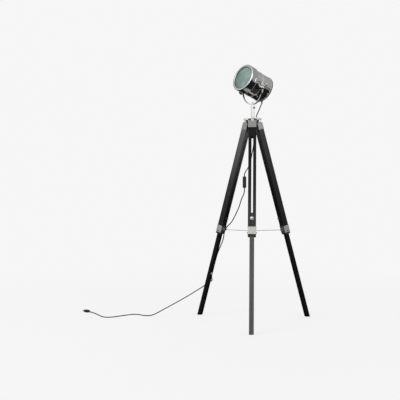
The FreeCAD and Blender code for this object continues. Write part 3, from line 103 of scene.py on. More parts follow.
def piece(name, bm, look, body=None, angle=40):
    """A finished piece of the lamp in its material; it rides the body where one is given."""
    obj = finish_mesh(name, bm, angle)
    obj.data.materials.append(look)
    if body:
        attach(obj, body)
    return obj


def circle(count):
    """Cosine and sine of the angles that share a full turn evenly."""
    return [(math.cos(2 * math.pi * k / count), math.sin(2 * math.pi * k / count))
            for k in range(count)]


def lathe(bm, profile, matrix, sides=32):
    """Turns (radius, height) points about the matrix's Z axis; radius 0 closes an end."""
    closing = 1e-7
    rings = []
    for radius, height in profile:
        ways = circle(sides) if radius >= closing else [(0.0, 0.0)]
        rings.append([bm.verts.new(matrix @ Vector((radius * c, radius * s, height)))
                      for c, s in ways])
    for a, b in zip(rings, rings[1:]):
        for k in range(sides):
            j = (k + 1) % sides
            corners = [a[k % len(a)], a[j % len(a)], b[j % len(b)], b[k % len(b)]]
            unique = list(dict.fromkeys(corners))
            if len(unique) > 2:
                bm.faces.new(unique)


def sweep(bm, points, radius, sides=12, closed=False):
    """An untwisted tube along the points; radius is one number or one for each point."""
    points = [Vector(p) for p in points]
    count = len(points)
    radii = radius if isinstance(radius, list) else [radius] * count
    tangents = []
    for i in range(count):
        if closed:
            t = points[(i + 1) % count] - points[i - 1]
        else:
            t = points[min(i + 1, count - 1)] - points[max(i - 1, 0)]
        tangents.append(t.normalized())
    normal = tangents[0].orthogonal().normalized()
    rings = []
    for p, t, r in zip(points, tangents, radii):
        normal = (normal - t * normal.dot(t)).normalized()
        across = t.cross(normal)
        rings.append([bm.verts.new(p + normal * (r * c) + across * (r * s))
                      for c, s in circle(sides)])
    pairs = list(zip(rings, rings[1:]))
    if closed:
        pairs.append((rings[-1], rings[0]))
    for a, b in pairs:
        for k in range(sides):
            j = (k + 1) % sides
            bm.faces.new((a[k], a[j], b[j], b[k]))
    if not closed:
        bm.faces.new(rings[0][::-1])
        bm.faces.new(rings[-1])


def loft(bm, sections):
    """Joins a row of outlines that have the same number of points, and closes both ends."""
    rows = [[bm.verts.new(p) for p in section] for section in sections]
    count = len(rows[0])
    for a, b in zip(rows, rows[1:]):
        for k in range(count):
            j = (k + 1) % count
            bm.faces.new((a[k], a[j], b[j], b[k]))
    bm.faces.new(rows[0])
    bm.faces.new(rows[-1][::-1])


def rotation_to(direction):
    """A matrix whose Z axis points along the direction."""
    return Vector(direction).to_track_quat("Z", "Y").to_matrix().to_4x4()


def euler_of(matrix):
    return tuple(matrix.to_3x3().to_euler("XYZ"))


def spline(points):
    """The points of a smooth line that starts and ends at the given ones."""
    curve = bpy.data.curves.new("route", "CURVE")
    curve.dimensions = "3D"
    curve.resolution_u = 10
    line = curve.splines.new("NURBS")
    line.points.add(len(points) - 1)
    for p, at in zip(line.points, points):
        p.co = (*at, 1)
    line.order_u = 3
    line.use_endpoint_u = True
    obj = bpy.data.objects.new("route", curve)
    SCENE.collection.objects.link(obj)
    mesh = bpy.data.meshes.new_from_object(obj)
    path = [v.co.copy() for v in mesh.vertices]
    bpy.data.objects.remove(obj)
    bpy.data.meshes.remove(mesh)
    return path


# ------------------------------------------------------------------ shader makers
NO_TURN = (0, 0, 0)


def new_node(tree, kind, **values):
    """A node with some inputs set; an underscore stands for a space in an input's name."""
    node = tree.nodes.new(kind)
    for name, value in values.items():
        node.inputs[name.replace("_", " ")].default_value = value
    return node


def material(name, color, metallic, roughness, **values):
    mat = bpy.data.materials.new(name)
    mat.use_nodes = True
    shader = mat.node_tree.nodes["Principled BSDF"]
    shader.inputs["Base Color"].default_value = (*color, 1)
    shader.inputs["Metallic"].default_value = metallic
    shader.inputs["Roughness"].default_value = roughness
    for key, value in values.items():
        shader.inputs[key.replace("_", " ")].default_value = value
    return mat


def texture(mat, detail, cell, turn=NO_TURN, distortion=0.0):
    """Noise over the object; cell is its size in metres, one number or one for each axis."""
    tree = mat.node_tree
    mapping = tree.nodes.new("ShaderNodeMapping")
    mapping.vector_type = "TEXTURE"
    mapping.inputs["Rotation"].default_value = turn
    mapping.inputs["Scale"].default_value = cell if hasattr(cell, "__len__") else (cell,) * 3
    coords = tree.nodes.new("ShaderNodeTexCoord")
    tree.links.new(coords.outputs["Object"], mapping.inputs["Vector"])
    noise = new_node(tree, "ShaderNodeTexNoise", Scale=1.0, Detail=detail, Distortion=distortion)
    tree.links.new(mapping.outputs["Vector"], noise.inputs["Vector"])
    return noise.outputs["Fac"]


def color_ramp(tree, source, stops):
    """A colour for the source's value, from (position, grey or colour) stops in rising order."""
    node = tree.nodes.new("ShaderNodeValToRGB")
    elements = node.color_ramp.elements
    elements.remove(elements[1])
    elements[0].position = stops[0][0]
    made = [elements[0]] + [elements.new(at) for at, _ in stops[1:]]
    for element, (_, color) in zip(made, stops):
        element.color = (*(color if hasattr(color, "__len__") else (color,) * 3), 1)
    tree.links.new(source, node.inputs["Fac"])
    return node.outputs["Color"]


def ramp(mat, source, stops, socket="Base Color"):
    tree = mat.node_tree
    tree.links.new(color_ramp(tree, source, stops), tree.nodes["Principled BSDF"].inputs[socket])


def bump(mat, source, distance, strength, under=None):
    """Lays relief on the surface, on top of another relief where one is given."""
    tree = mat.node_tree
    node = new_node(tree, "ShaderNodeBump", Strength=strength, Distance=distance)
    tree.links.new(source, node.inputs["Height"])
    if under is not None:
        tree.links.new(under.outputs["Normal"], node.inputs["Normal"])
    tree.links.new(node.outputs["Normal"], tree.nodes["Principled BSDF"].inputs["Normal"])
    return node


def shade_along(tree, axis, low, high, stops):
    """A colour that runs from low to high along an axis, or outward from the origin for None."""
    coords = tree.nodes.new("ShaderNodeTexCoord")
    along = tree.nodes.new("ShaderNodeVectorMath")
    if axis is None:
        along.operation = "LENGTH"
    else:
        along.operation = "DOT_PRODUCT"
        along.inputs[1].default_value = axis
    tree.links.new(coords.outputs["Object"], along.inputs[0])
    share = new_node(tree, "ShaderNodeMapRange", From_Min=low, From_Max=high)
    tree.links.new(along.outputs["Value"], share.inputs["Value"])
    return color_ramp(tree, share.outputs["Result"], stops)


def paint_light_along(mat, axis, low, high, stops):
    """Multiplies the colour by one that runs along an axis, from low to high, to paint light and shade
    into it.
    """
    tree = mat.node_tree
    base = tree.nodes["Principled BSDF"].inputs["Base Color"]
    product = tree.nodes.new("ShaderNodeVectorMath")
    product.operation = "MULTIPLY"
    tree.links.new(base.links[0].from_socket, product.inputs[0])
    tree.links.new(shade_along(tree, axis, low, high, stops), product.inputs[1])
    tree.links.new(product.outputs["Vector"], base)


# ------------------------------------------------------------------ materials
def tinted(color, factor):
    return tuple(min(1.0, c * factor) for c in color)


def chrome(name, color, rough, turn=NO_TURN, streak=0.002, wave=0.0006, scratch=0.00004,
           spread=(0.6, 1.6), tones=None):
    """Plated metal: faint polishing streaks in its gloss, and a slow waviness of the sheet.

    tones is the detail, cell and stops of its colour, where it isn't nearly even.
    """
    mat = material(name, color, 1.0, rough)
    fine = texture(mat, 4, streak, turn)
    ramp(mat, fine, [(0.3, rough * spread[0]), (0.7, rough * spread[1])], "Roughness")
    detail, cell, stops = tones or (3, 0.02, [(0.35, tinted(color, 0.93)), (0.65, color)])
    ramp(mat, texture(mat, detail, cell, turn), stops)
    slow = bump(mat, texture(mat, 1, 0.045), wave, 0.25)
    bump(mat, fine, scratch, 0.35, slow)
    return mat


def brushed(name, color, turn, stretch, rough, metal=1.0, stain=0.18):
    """Satin plate with fine brush lines and small stains."""
    mat = material(name, color, metal, rough)
    lines = texture(mat, 5, stretch, turn)
    ramp(mat, texture(mat, 4, 0.006), [(0.3, tinted(color, 1 - stain)), (0.62, color),
                                       (0.8, tinted(color, 1 + 0.6 * stain))])
    ramp(mat, lines, [(0.25, rough * 0.75), (0.75, rough * 1.35)], "Roughness")
    bump(mat, lines, 0.00012, 0.5)
    return mat


def plastic(name, color, rough, grain=0.0006, depth=0.00008):
    """Moulded or painted surface with a fine grain, never quite even in colour."""
    mat = material(name, color, 0.0, rough)
    cells = texture(mat, 3, grain)
    ramp(mat, texture(mat, 3, 0.01), [(0.3, tinted(color, 0.8)), (0.7, tinted(color, 1.15))])
    ramp(mat, cells, [(0.3, rough * 0.85), (0.7, min(1.0, rough * 1.2))], "Roughness")
    bump(mat, cells, depth, 0.5)
    return mat


def wood(name, turn, painted_light, gloss):
    """Black satin lacquer over long grain, with painted sheen and shade; painted_light says how much
    lighter or darker it is painted at each height.
    """
    top, unit = 1.16, 0.1
    mat = material(name, (0.012, 0.012, 0.013), 0.0, 0.4, Specular_IOR_Level=gloss,
                   Coat_Weight=0.4 * gloss, Coat_Roughness=0.22)
    grain = texture(mat, 6, (0.0035, 0.0035, 0.11), turn, 0.6)
    pores = texture(mat, 3, (0.0011, 0.0011, 0.022), turn)
    ramp(mat, grain, [(at, (value, value, value * 1.04))
                      for at, value in ((0.25, 0.05), (0.55, 0.1), (0.8, 0.2))])
    # painted sheen and shade: the lacquer's colour is made lighter or darker by height
    paint_light_along(mat, (0, 0, 1), 0, top, [(z / top, value * unit) for z, value in painted_light])
    ramp(mat, pores, [(0.3, 0.34), (0.75, 0.52)], "Roughness")
    bump(mat, pores, 0.00012, 0.35, bump(mat, grain, 0.0003, 0.3))
    return mat


def frosted_glass():
    """Sea-green etched glass, cloudy, with painted shade that makes it darker toward one side."""
    middle_station, half_width = 0.09, 0.065
    mat = material("frosted_glass", (0.29, 0.41, 0.375), 0.0, 0.42, Transmission_Weight=0.12,
                   IOR=1.46, Coat_Weight=0.5, Coat_Roughness=0.12)
    cloud = texture(mat, 3, 0.045, distortion=0.6)
    ramp(mat, cloud, [(0.3, (0.176, 0.284, 0.260)), (0.5, (0.226, 0.335, 0.305)),
                      (0.72, (0.348, 0.46, 0.432))])
    # painted shade: the colour is darker toward the drum's far side and lighter toward its near side
    axis = HEAD.to_3x3() @ Vector((-1, 0, 0.2))
    middle = axis.dot(HEAD @ Vector((0, middle_station, DRUM_RISE)))
    paint_light_along(mat, axis, middle - half_width, middle + half_width,
           [(0.0, 0.60), (0.3, 0.78), (0.75, 1.0), (1.0, 0.92)])
    grit = texture(mat, 2, 0.0012)
    ramp(mat, grit, [(0.3, 0.36), (0.7, 0.52)], "Roughness")
    bump(mat, grit, 0.0001, 0.4)
    return mat


HEAD_TURN = euler_of(HEAD)
BRUSH_LINES = (0.0006, 0.02, 0.0006)
SPUN_GRAIN = (0.0006, 0.0006, 0.0006)

drum_chrome = chrome("drum_chrome", (0.76, 0.76, 0.75), 0.10, HEAD_TURN, (0.0016, 0.07, 0.0016),
                     tones=(4, (0.0042, 0.16, 0.0042),
                            [(0.30, (0.40, 0.40, 0.395)), (0.44, (0.70, 0.70, 0.69)),
                             (0.56, (0.80, 0.80, 0.79)), (0.68, (0.95, 0.95, 0.94))]))
rim_chrome = chrome("rim_chrome", (0.64, 0.64, 0.635), 0.2, HEAD_TURN, streak=0.0008, wave=0.0001,
                    scratch=0.00001, spread=(0.85, 1.2))
plain_chrome = chrome("plain_chrome", (0.82, 0.82, 0.81), 0.08)
stem_chrome = chrome("stem_chrome", (0.86, 0.86, 0.85), 0.07, streak=(0.001, 0.001, 0.03))
chain_steel = chrome("chain_steel", (0.62, 0.62, 0.60), 0.22)
hub_metal = brushed("hub_metal", (0.92, 0.92, 0.91), NO_TURN, BRUSH_LINES, 0.34, 0.55)
rear_metal = brushed("rear_metal", (0.62, 0.62, 0.61), HEAD_TURN, SPUN_GRAIN, 0.32, 0.5)
dull_strip = brushed("dull_strip", (0.17, 0.17, 0.168), HEAD_TURN, BRUSH_LINES, 0.4, 0.1)
edge_nickel = brushed("edge_nickel", (0.66, 0.66, 0.65), HEAD_TURN, BRUSH_LINES, 0.4, 0.35)
reflector_metal = brushed("reflector_metal", (0.80, 0.80, 0.78), HEAD_TURN, (0.001, 0.001, 0.02), 0.3)
pin_brass = brushed("pin_brass", (0.72, 0.66, 0.50), NO_TURN, BRUSH_LINES, 0.25)
black_metal = plastic("black_oxide_and_painted_dark", (0.03, 0.03, 0.03), 0.35)
knob_plastic = plastic("knob_plastic", (0.012, 0.012, 0.012), 0.28, 0.002, 0.00005)
black_plastic = plastic("black_plastic", (0.016, 0.016, 0.017), 0.5)
cord_pvc = plastic("cord_pvc", (0.006, 0.006, 0.0065), 0.44, 0.0008, 0.00006)
bush_plastic = plastic("bush_plastic", (0.013, 0.013, 0.014), 0.5)
rubber = plastic("rubber", (0.02, 0.02, 0.02), 0.75, 0.0004)
gasket_rubber = plastic("gasket_rubber", (0.10, 0.105, 0.105), 0.6, 0.0004)
clip_plastic = plastic("clip_plastic", (0.36, 0.36, 0.35), 0.5)
rocker_plastic = plastic("rocker_plastic", (0.02, 0.02, 0.02), 0.25, 0.002, 0.00003)
socket_ceramic = plastic("socket_ceramic", (0.80, 0.78, 0.73), 0.25, 0.004, 0.00003)
bulb_glass = plastic("bulb_glass", (0.86, 0.86, 0.83), 0.35, 0.002, 0.00002)

LOOKS = {
    "hub_casting": hub_metal, "leg_hinge_bolts": plain_chrome, "stem_tube": stem_chrome,
    "stem_thumb_screw": black_metal, "chain_ring": chain_steel, "yoke_strap": plain_chrome,
    "yoke_spigot": plain_chrome, "tilt_knob_near": plain_chrome, "tilt_knob_far": knob_plastic,
    "head_drum": drum_chrome, "rear_cap": rear_metal, "rear_cap_screws": plain_chrome,
    "front_flange": rim_chrome, "bezel_ring": rim_chrome, "door_hinge_pin": plain_chrome,
    "door_screw": plain_chrome, "glass_gasket": gasket_rubber, "front_glass": frosted_glass(),
    "reflector": reflector_metal, "lamp_socket": socket_ceramic, "bulb": bulb_glass,
    "pivot_lugs": drum_chrome, "cable_gland": black_plastic, "switch_case": black_plastic,
    "switch_rocker": rocker_plastic, "cord_clip": clip_plastic, "plug_body": black_plastic,
    "plug_pins": pin_brass,
}

# each leg's lacquer and painted light: its gloss and its (height, painted lightness) stops, above and
# below the collar, which paint sheen and shade into the wood's colour
LACQUER_AND_PAINTED_LIGHT = {
    "front": (0.10, [(0.60, 3.6), (0.68, 3.0), (0.80, 1.2), (1.0, 0.7)],
              0.5, [(0.0, 6.0), (0.30, 6.4), (0.56, 5.4)]),
    "right": (0.25, [(0.60, 0.5), (0.85, 0.8), (1.10, 3.0)], 0.12, [(0.0, 0.5), (0.6, 0.5)]),
    "left": (0.25, [(0.60, 0.7), (0.80, 2.2), (1.05, 9.5), (1.12, 14.0)],
             0.12, [(0.0, 0.5), (0.6, 0.5)]),
}
# each leg cap's brightness, painted lighter or darker on each side as light and shade, its roughness and
# staining
CAP_PLATES = {"front": (0.31, 0.34, 0.15), "right": (0.26, 0.26, 0.3), "left": (0.34, 0.2, 0.6)}

for side in LEGS:
    turn = euler_of(leg_matrix(side))
    # each leg's wood is its own copy, painted lighter or darker by height as sheen and shade
    upper_gloss, upper_painted_light, lower_gloss, lower_painted_light = LACQUER_AND_PAINTED_LIGHT[side]
    # cap_painted_light is painted light and shade: each side's cap plate is a lighter or darker copy of
    # the same metal
    cap_painted_light, satin, stain = CAP_PLATES[side]
    LOOKS.update({
        "upper_leg_" + side: wood("wood_" + side, turn, upper_painted_light, upper_gloss),
        "lower_leg_" + side: wood("lower_wood_" + side, turn, lower_painted_light, lower_gloss),
        "leg_cap_" + side: brushed("cap_plate_" + side, (cap_painted_light, cap_painted_light, cap_painted_light * 0.98), turn,
                                   (0.0005, 0.0005, 0.02), satin, 1.0, stain),
        "leg_collar_" + side: brushed("collar_plate_" + side, (0.60, 0.59, 0.555), turn,
                                      (0.02, 0.02, 0.0005), 0.4),
        "collar_bush_" + side: bush_plastic, "clamp_bolt_" + side: plain_chrome,
        "wing_nut_" + side: black_metal})
for node, look in LOOKS.items():
    for place in NODES[node].material_slots:
        place.link = "OBJECT"
        place.material = look

# ------------------------------------------------------------------ the cord
# from the head down the yoke, through the hub, along the left leg and over the floor
ROUTES = {
    "head": [(0.05407, 0.09925, 1.27508), (0.05496, 0.0928, 1.26269), (0.0463, 0.08894, 1.242),
             (0.0386, 0.08734, 1.222)],
    "yoke": [(0.0386, 0.08734, 1.222), (0.032825, 0.08614, 1.207), (0.0232, 0.08294, 1.19),
             (0.0216, 0.07884, 1.171)],
    "drop": [(0.0216, 0.07884, 1.171), (0.0206, 0.07628, 1.15913), (0.0196, 0.07634, 1.135),
             (0.0182, 0.07634, 1.105), (0.0145, 0.07534, 1.07), (0.0095, 0.07384, 1.035),
             (0.0035, 0.07134, 1), (-0.0025, 0.06884, 0.968), (-0.009, 0.06784, 0.932),
             (-0.0195, 0.06684, 0.895), (-0.033, 0.06584, 0.873), (-0.0438, 0.06424, 0.856),
             (-0.046, 0.06364, 0.845), (-0.046, 0.06364, 0.8355)],
    "leg_upper": [(-0.046, 0.06364, 0.7695), (-0.0458, 0.06384, 0.752), (-0.05, 0.06634, 0.733),
                  (-0.061, 0.07434, 0.711), (-0.07, 0.08734, 0.687), (-0.077, 0.09934, 0.662),
                  (-0.088, 0.11234, 0.639), (-0.099, 0.12534, 0.615), (-0.112, 0.14134, 0.591),
                  (-0.126, 0.15534, 0.567), (-0.152, 0.17184, 0.544), (-0.161, 0.17634, 0.526)],
    "leg_lower": [(-0.161, 0.17634, 0.526), (-0.168, 0.17984, 0.512), (-0.172, 0.18234, 0.488),
                  (-0.176, 0.18634, 0.466), (-0.184, 0.19234, 0.444), (-0.193, 0.19934, 0.424),
                  (-0.203, 0.20634, 0.402), (-0.213, 0.21334, 0.376), (-0.224, 0.22034, 0.338),
                  (-0.2355, 0.2273, 0.29498), (-0.24535, 0.23299, 0.25663)],
    "air": [(-0.24535, 0.23299, 0.25663), (-0.24996, 0.23565, 0.2387), (-0.2474, 0.24684, 0.222),
            (-0.2484, 0.25904, 0.211), (-0.2617, 0.27014, 0.201), (-0.2825, 0.27404, 0.189),
            (-0.299, 0.26684, 0.176), (-0.32, 0.26534, 0.1625), (-0.3456, 0.26234, 0.147),
            (-0.3796, 0.25504, 0.125), (-0.4229, 0.24274, 0.101)],
    "floor": [(-0.4229, 0.24274, 0.101), (-0.4649, 0.23081, 0.07772), (-0.506, 0.21934, 0.056),
              (-0.548, 0.20834, 0.034), (-0.578, 0.20134, 0.017), (-0.604, 0.19334, 0.0065),
              (-0.628, 0.18634, 0.003), (-0.65, 0.19034, 0.003), (-0.672, 0.20634, 0.003),
              (-0.697, 0.22434, 0.003), (-0.722, 0.22934, 0.003), (-0.745, 0.21634, 0.003),
              (-0.771, 0.18834, 0.003), (-0.803, 0.15334, 0.003), (-0.832, 0.12434, 0.003),
              (-0.858, 0.11134, 0.003), (-0.884, 0.11934, 0.003), (-0.91, 0.14934, 0.003),
              (-0.94, 0.19034, 0.0046), (-0.974, 0.23134, 0.0069), (-1.006, 0.26334, 0.0069)],
}


def cord_piece(name, blend=None, body=None):
    path = spline(ROUTES[name])
    bm = bmesh.new()
    sweep(bm, path, CORD_RADIUS, 14)
    obj = piece("cord_run_" + name, bm, cord_pvc)
    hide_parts("cord_" + name)
    if blend:
        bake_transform(obj)
    else:
        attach(obj, body)
    return path


head_path = cord_piece("head", blend=("head", "yoke", ROUTES["head"][-1]))
cord_piece("yoke", blend=("yoke", "hub", ROUTES["yoke"][-1]))
cord_piece("drop", body="hub")
cord_piece("leg_upper", blend=("hub", "upper_left", ROUTES["leg_upper"][-1]))
cord_piece("leg_lower", blend=("upper_left", "lower_left", ROUTES["leg_lower"][-1]))
cord_piece("air", blend=("lower_left", "upper_left", ROUTES["air"][-1]))
cord_piece("floor", blend=("upper_left", "hub", (-0.604, 0.19334, 0.0065)))

# ------------------------------------------------------------------ chains of the spreader
SAG = 0.0006
CHAIN_START, CHAIN_END = 0.0115, 0.1855
LINK_PITCH, LINK_WIDTH, LINK_WIRE = 0.0062, 0.0052, 0.0007
RING_RADIUS, RING_WIRE = 0.011, 0.0016
eye_low, eye_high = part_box("chain_front")
CHAIN_Z = (eye_low.z + eye_high.z) / 2


def oval_link(length, steps=7):
    """The middle line of one link, lying in XY with its length along X."""
    straight = (length - LINK_WIDTH) / 2
    r = LINK_WIDTH / 2 - LINK_WIRE
    points = []
    for sign in (1, -1):
        for k in range(steps):
            a = sign * math.pi / 2 - math.pi * k / (steps - 1)
            points.append(Vector((sign * straight + r * math.cos(a), r * math.sin(a), 0)))
    return points


for side, angle in LEGS.items():
    out = Vector((math.cos(math.radians(angle)), math.sin(math.radians(angle)), 0))
    span = CHAIN_END - 0.001 - CHAIN_START
    count = int(round(span / LINK_PITCH))
    pitch = span / count
    link = oval_link(pitch + 2.6 * LINK_WIRE)
    bm = bmesh.new()
    for k in range(count):
        middle = CHAIN_START + (k + 0.5) * pitch
        share = middle / CHAIN_END
        height = CHAIN_Z - SAG * (1 - share ** 2)
        slope = 2 * SAG * share / CHAIN_END
        along = (out + Vector((0, 0, slope))).normalized()
        across = along.cross(Vector((0, 0, 1))).normalized()
        third = along.cross(across)
        spin = math.radians(45 + 90 * (k % 2))      # every other link is turned on edge
        y = across * math.cos(spin) + third * math.sin(spin)
        place = Matrix((along, y, along.cross(y))).transposed().to_4x4()
        place.translation = about(0, 0, height) + out * middle
        sweep(bm, [place @ p for p in link], LINK_WIRE, 8, True)
    chain = piece("chain_links_" + side, bm, chain_steel)
    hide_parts("chain_" + side)
    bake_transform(chain)

bm = bmesh.new()
sweep(bm, [about(RING_RADIUS * c, RING_RADIUS * s, CHAIN_Z - SAG) for c, s in circle(40)],
      RING_WIRE, 12, True)
ring = piece("chain_ring_wire", bm, chain_steel, "hub")
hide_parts("chain_ring")


# ------------------------------------------------------------------ small trim of legs and hub
def screw(bm, foot, direction, radius, height):
    """A low domed screw head with a shallow cup at its middle."""
    lathe(bm, [(0, -0.0005), (radius, -0.0005), (radius, height * 0.35), (radius * 0.93, height * 0.66),
               (radius * 0.7, height * 0.9), (radius * 0.34, height), (radius * 0.26, height * 0.82),
               (0, height * 0.72)], Matrix.Translation(foot) @ rotation_to(direction), 24)


COLLAR_SCREW_Y, COLLAR_SCREW_DROP = 0.001, 0.031        # the drop is from the collar's top
RIVET_X, RIVET_Y, RIVET_Z = 0.0155, 0.01775, -0.0268    # in the leg's frame
for side in LEGS:
    leg = leg_matrix(side)
    bm = bmesh.new()
    for hand in (-1, 1):
        foot = leg @ Vector((hand * COLLAR_WIDTH / 2, COLLAR_SCREW_Y, -(COLLAR_TOP + COLLAR_SCREW_DROP)))
        screw(bm, foot, leg.to_3x3() @ Vector((hand, 0, 0)), 0.0034, 0.0036)
    piece("collar_screws_" + side, bm, black_metal, "upper_" + side)
    bm = bmesh.new()
    for hand in (-1, 1):
        foot = leg @ Vector((hand * RIVET_X, RIVET_Y, RIVET_Z))
        screw(bm, foot, leg.to_3x3() @ Vector((0, 1, 0)), 0.0027, 0.0016)
    piece("cap_rivets_" + side, bm, LOOKS["leg_cap_" + side], "upper_" + side)

# three screws on the stem's flange
FLANGE_SCREWS_AT, FLANGE_HEIGHT = 0.0132, 0.0052
bm = bmesh.new()
for degrees in (90, 210, 330):
    foot = around(FLANGE_SCREWS_AT, math.radians(degrees), HUB_TOP + FLANGE_HEIGHT)
    screw(bm, foot, (0, 0, 1), 0.0026, 0.0022)
piece("flange_screws", bm, plain_chrome, "hub")

# rolled skirt under the hub plate, in three arcs of 60 degrees between the legs; its outline is
# given by radius and drop below the plate's top
SKIRT = [(0.0494, 0.0040), (0.0494, 0.0112), (0.0506, 0.0116), (0.0511, 0.0108), (0.0508, 0.0040)]
bm = bmesh.new()
for first in (60, 180, 300):
    arc = [math.radians(first + 3 * k) for k in range(21)]
    loft(bm, [[around(r, a, HUB_TOP - drop) for r, drop in SKIRT] for a in arc])
piece("hub_skirt", bm, hub_metal, "hub", 30)

# grommet where the cord goes through the hub
CORD_HOLE_X, CORD_HOLE_Y = 0.0216, -0.0125
GROMMET = [(0.0032, -0.0062), (0.0047, -0.0062), (0.0047, 0.0), (0.0066, 0.0), (0.0068, 0.0009),
           (0.0058, 0.0017), (0.0040, 0.0017), (0.0032, 0.0008), (0.0032, -0.0062)]
bm = bmesh.new()
lathe(bm, GROMMET, Matrix.Translation(about(CORD_HOLE_X, CORD_HOLE_Y, HUB_TOP)))
piece("hub_grommet", bm, rubber, "hub")

# ------------------------------------------------------------------ strain relief at the head
BOOT_LENGTH, BOOT_STEP = 0.024, 0.0006
BOOT_WIDE, BOOT_NARROW, BOOT_GROOVE = 0.0052, 0.0034, 0.0007


def even_points(path, step, reach):
    """Points at even steps along the path from its start, until they cover the reach."""
    line = [path[0]]
    for p in path[1:]:
        while (p - line[-1]).length > step:
            line.append(line[-1].lerp(p, step / (p - line[-1]).length))
            if len(line) * step > reach:
                return line
    return line


boot_line = even_points(head_path, BOOT_STEP, BOOT_LENGTH)
boot_radii = []
for k in range(len(boot_line)):
    share = k / (len(boot_line) - 1)
    groove = BOOT_GROOVE * (1 - share) if k % 5 in (3, 4) else 0
    boot_radii.append(BOOT_WIDE + (BOOT_NARROW - BOOT_WIDE) * share - groove)
boot_radii[0] = boot_radii[-1] = BOOT_NARROW * 0.97
bm = bmesh.new()
sweep(bm, boot_line, boot_radii, 24)
gland_boot = piece("gland_boot", bm, black_plastic, angle=30)
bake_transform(gland_boot)


# ------------------------------------------------------------------ thin fittings on the drum
def on_drum(station, phi, lift=0.0):
    """A point on the drum, by station along its axis and angle in degrees round it."""
    r, a = DRUM_RADIUS + lift, math.radians(phi)
    return HEAD @ Vector((r * math.cos(a), station, DRUM_RISE + r * math.sin(a)))


SUNK, EASE = -0.0005, 0.0006        # a sheet's foot below the drum's skin, and its rounding
DEGREES_PER_STEP = 3


def drum_plate(bm, low, high, first, last, thick):
    """A sheet with eased edges, bent over the drum between two stations and two angles."""
    ease = min(EASE, thick * 0.5)
    section = [(low, SUNK), (low, thick - ease), (low + ease, thick), (high - ease, thick),
               (high, thick - ease), (high, SUNK)]
    steps = max(3, int(abs(last - first) / DEGREES_PER_STEP))
    loft(bm, [[on_drum(s, first + (last - first) * k / steps, h) for s, h in section]
              for k in range(steps + 1)])


# each sheet: from one station to another, from one angle to another, and its thickness
PANEL_FRONT, PANEL_REAR = (0.0138, 0.0475, 208, 246, 0.0012), (-0.0015, 0.0142, 219.5, 246, 0.0012)
VENT_SLOT = (-0.0720, -0.0300, 189.0, 192.2, 0.0004)
UPPER_EDGE, LOWER_EDGE = (0.0140, 0.0480, 205.2, 207.6, 0.0016), (-0.0030, 0.0480, 246.0, 248.4, 0.0018)
STRIP = (0.0140, 0.0470, 197.5, 204.6, 0.0011)

# panel in two steps, and the dark vent slot
bm = bmesh.new()
for sheet in (PANEL_FRONT, PANEL_REAR, VENT_SLOT):
    drum_plate(bm, *sheet)
piece("drum_panels", bm, black_metal, "head", 30)

# bright edges of the panel, bead line that leaves room for the tilt clamp, and front hem
BEAD_STATION, BEAD_LIFT, BEAD_WIRE = -0.0030, 0.0002, 0.0013
HEM_STATION, HEM_LIFT, HEM_WIRE = 0.0484, 0.0029, 0.0014
bm = bmesh.new()
for sheet in (UPPER_EDGE, LOWER_EDGE):
    drum_plate(bm, *sheet)
sweep(bm, [on_drum(BEAD_STATION, a, BEAD_LIFT) for a in range(220, 321, 4)], BEAD_WIRE, 8)
sweep(bm, [on_drum(BEAD_STATION, a - 0.5, BEAD_LIFT) for a in range(344, 557, 4)], BEAD_WIRE, 8)
sweep(bm, [on_drum(HEM_STATION, a, HEM_LIFT) for a in range(0, 360, 4)], HEM_WIRE, 8, True)
piece("drum_frame", bm, edge_nickel, "head", 30)

# three latches, each a wide body and a narrow tongue, and four screws
BODY_HALF, TONGUE_HALF = 0.0034, 0.0014
bm = bmesh.new()
for station in (0.0150, 0.0262, 0.0374):
    drum_plate(bm, station - BODY_HALF, station + BODY_HALF, 249.5, 254.0, 0.0026)
    drum_plate(bm, station - TONGUE_HALF, station + TONGUE_HALF, 247.5, 251.5, 0.0034)
for station, phi in ((-0.0240, 250), (-0.0240, 214), (-0.0620, 214), (-0.0620, 250)):
    foot = on_drum(station, phi)
    screw(bm, foot, foot - on_drum(station, phi, -0.01), 0.0027, 0.0017)
piece("drum_fittings", bm, edge_nickel, "head", 30)

# short bent stay of the front ring, by station and angle
STAY_LIFT, STAY_WIRE = 0.0009, 0.0016
STAY = [(0.0440, 192.0), (0.0400, 190.2), (0.0340, 187.6), (0.0270, 186.6), (0.0200, 188.0),
        (0.0136, 191.6)]
bm = bmesh.new()
sweep(bm, spline([on_drum(s, p, STAY_LIFT) for s, p in STAY]), STAY_WIRE)
piece("door_stay", bm, rubber, "head")

# dull strip beside the panel
bm = bmesh.new()
drum_plate(bm, *STRIP)
piece("drum_strip", bm, dull_strip, "head", 30)

# black band round the rear cap, by lift off it and station: a painted dark reflection on the cap's
# rounded back edge
PAINTED_REFLECTION_BAND = [(-0.0004, -0.0786), (0.0006, -0.0782), (0.0009, -0.0774), (0.0009, -0.0738),
        (0.0006, -0.0730), (-0.0004, -0.0728), (-0.0004, -0.0786)]
bm = bmesh.new()
lathe(bm, [(REAR_RADIUS + lift, station) for lift, station in PAINTED_REFLECTION_BAND],
      HEAD @ Matrix.Translation((0, 0, DRUM_RISE)) @ Matrix.Rotation(math.radians(-90), 4, "X"), 72)
piece("rear_painted_reflection_band", bm, black_metal, "head", 30)

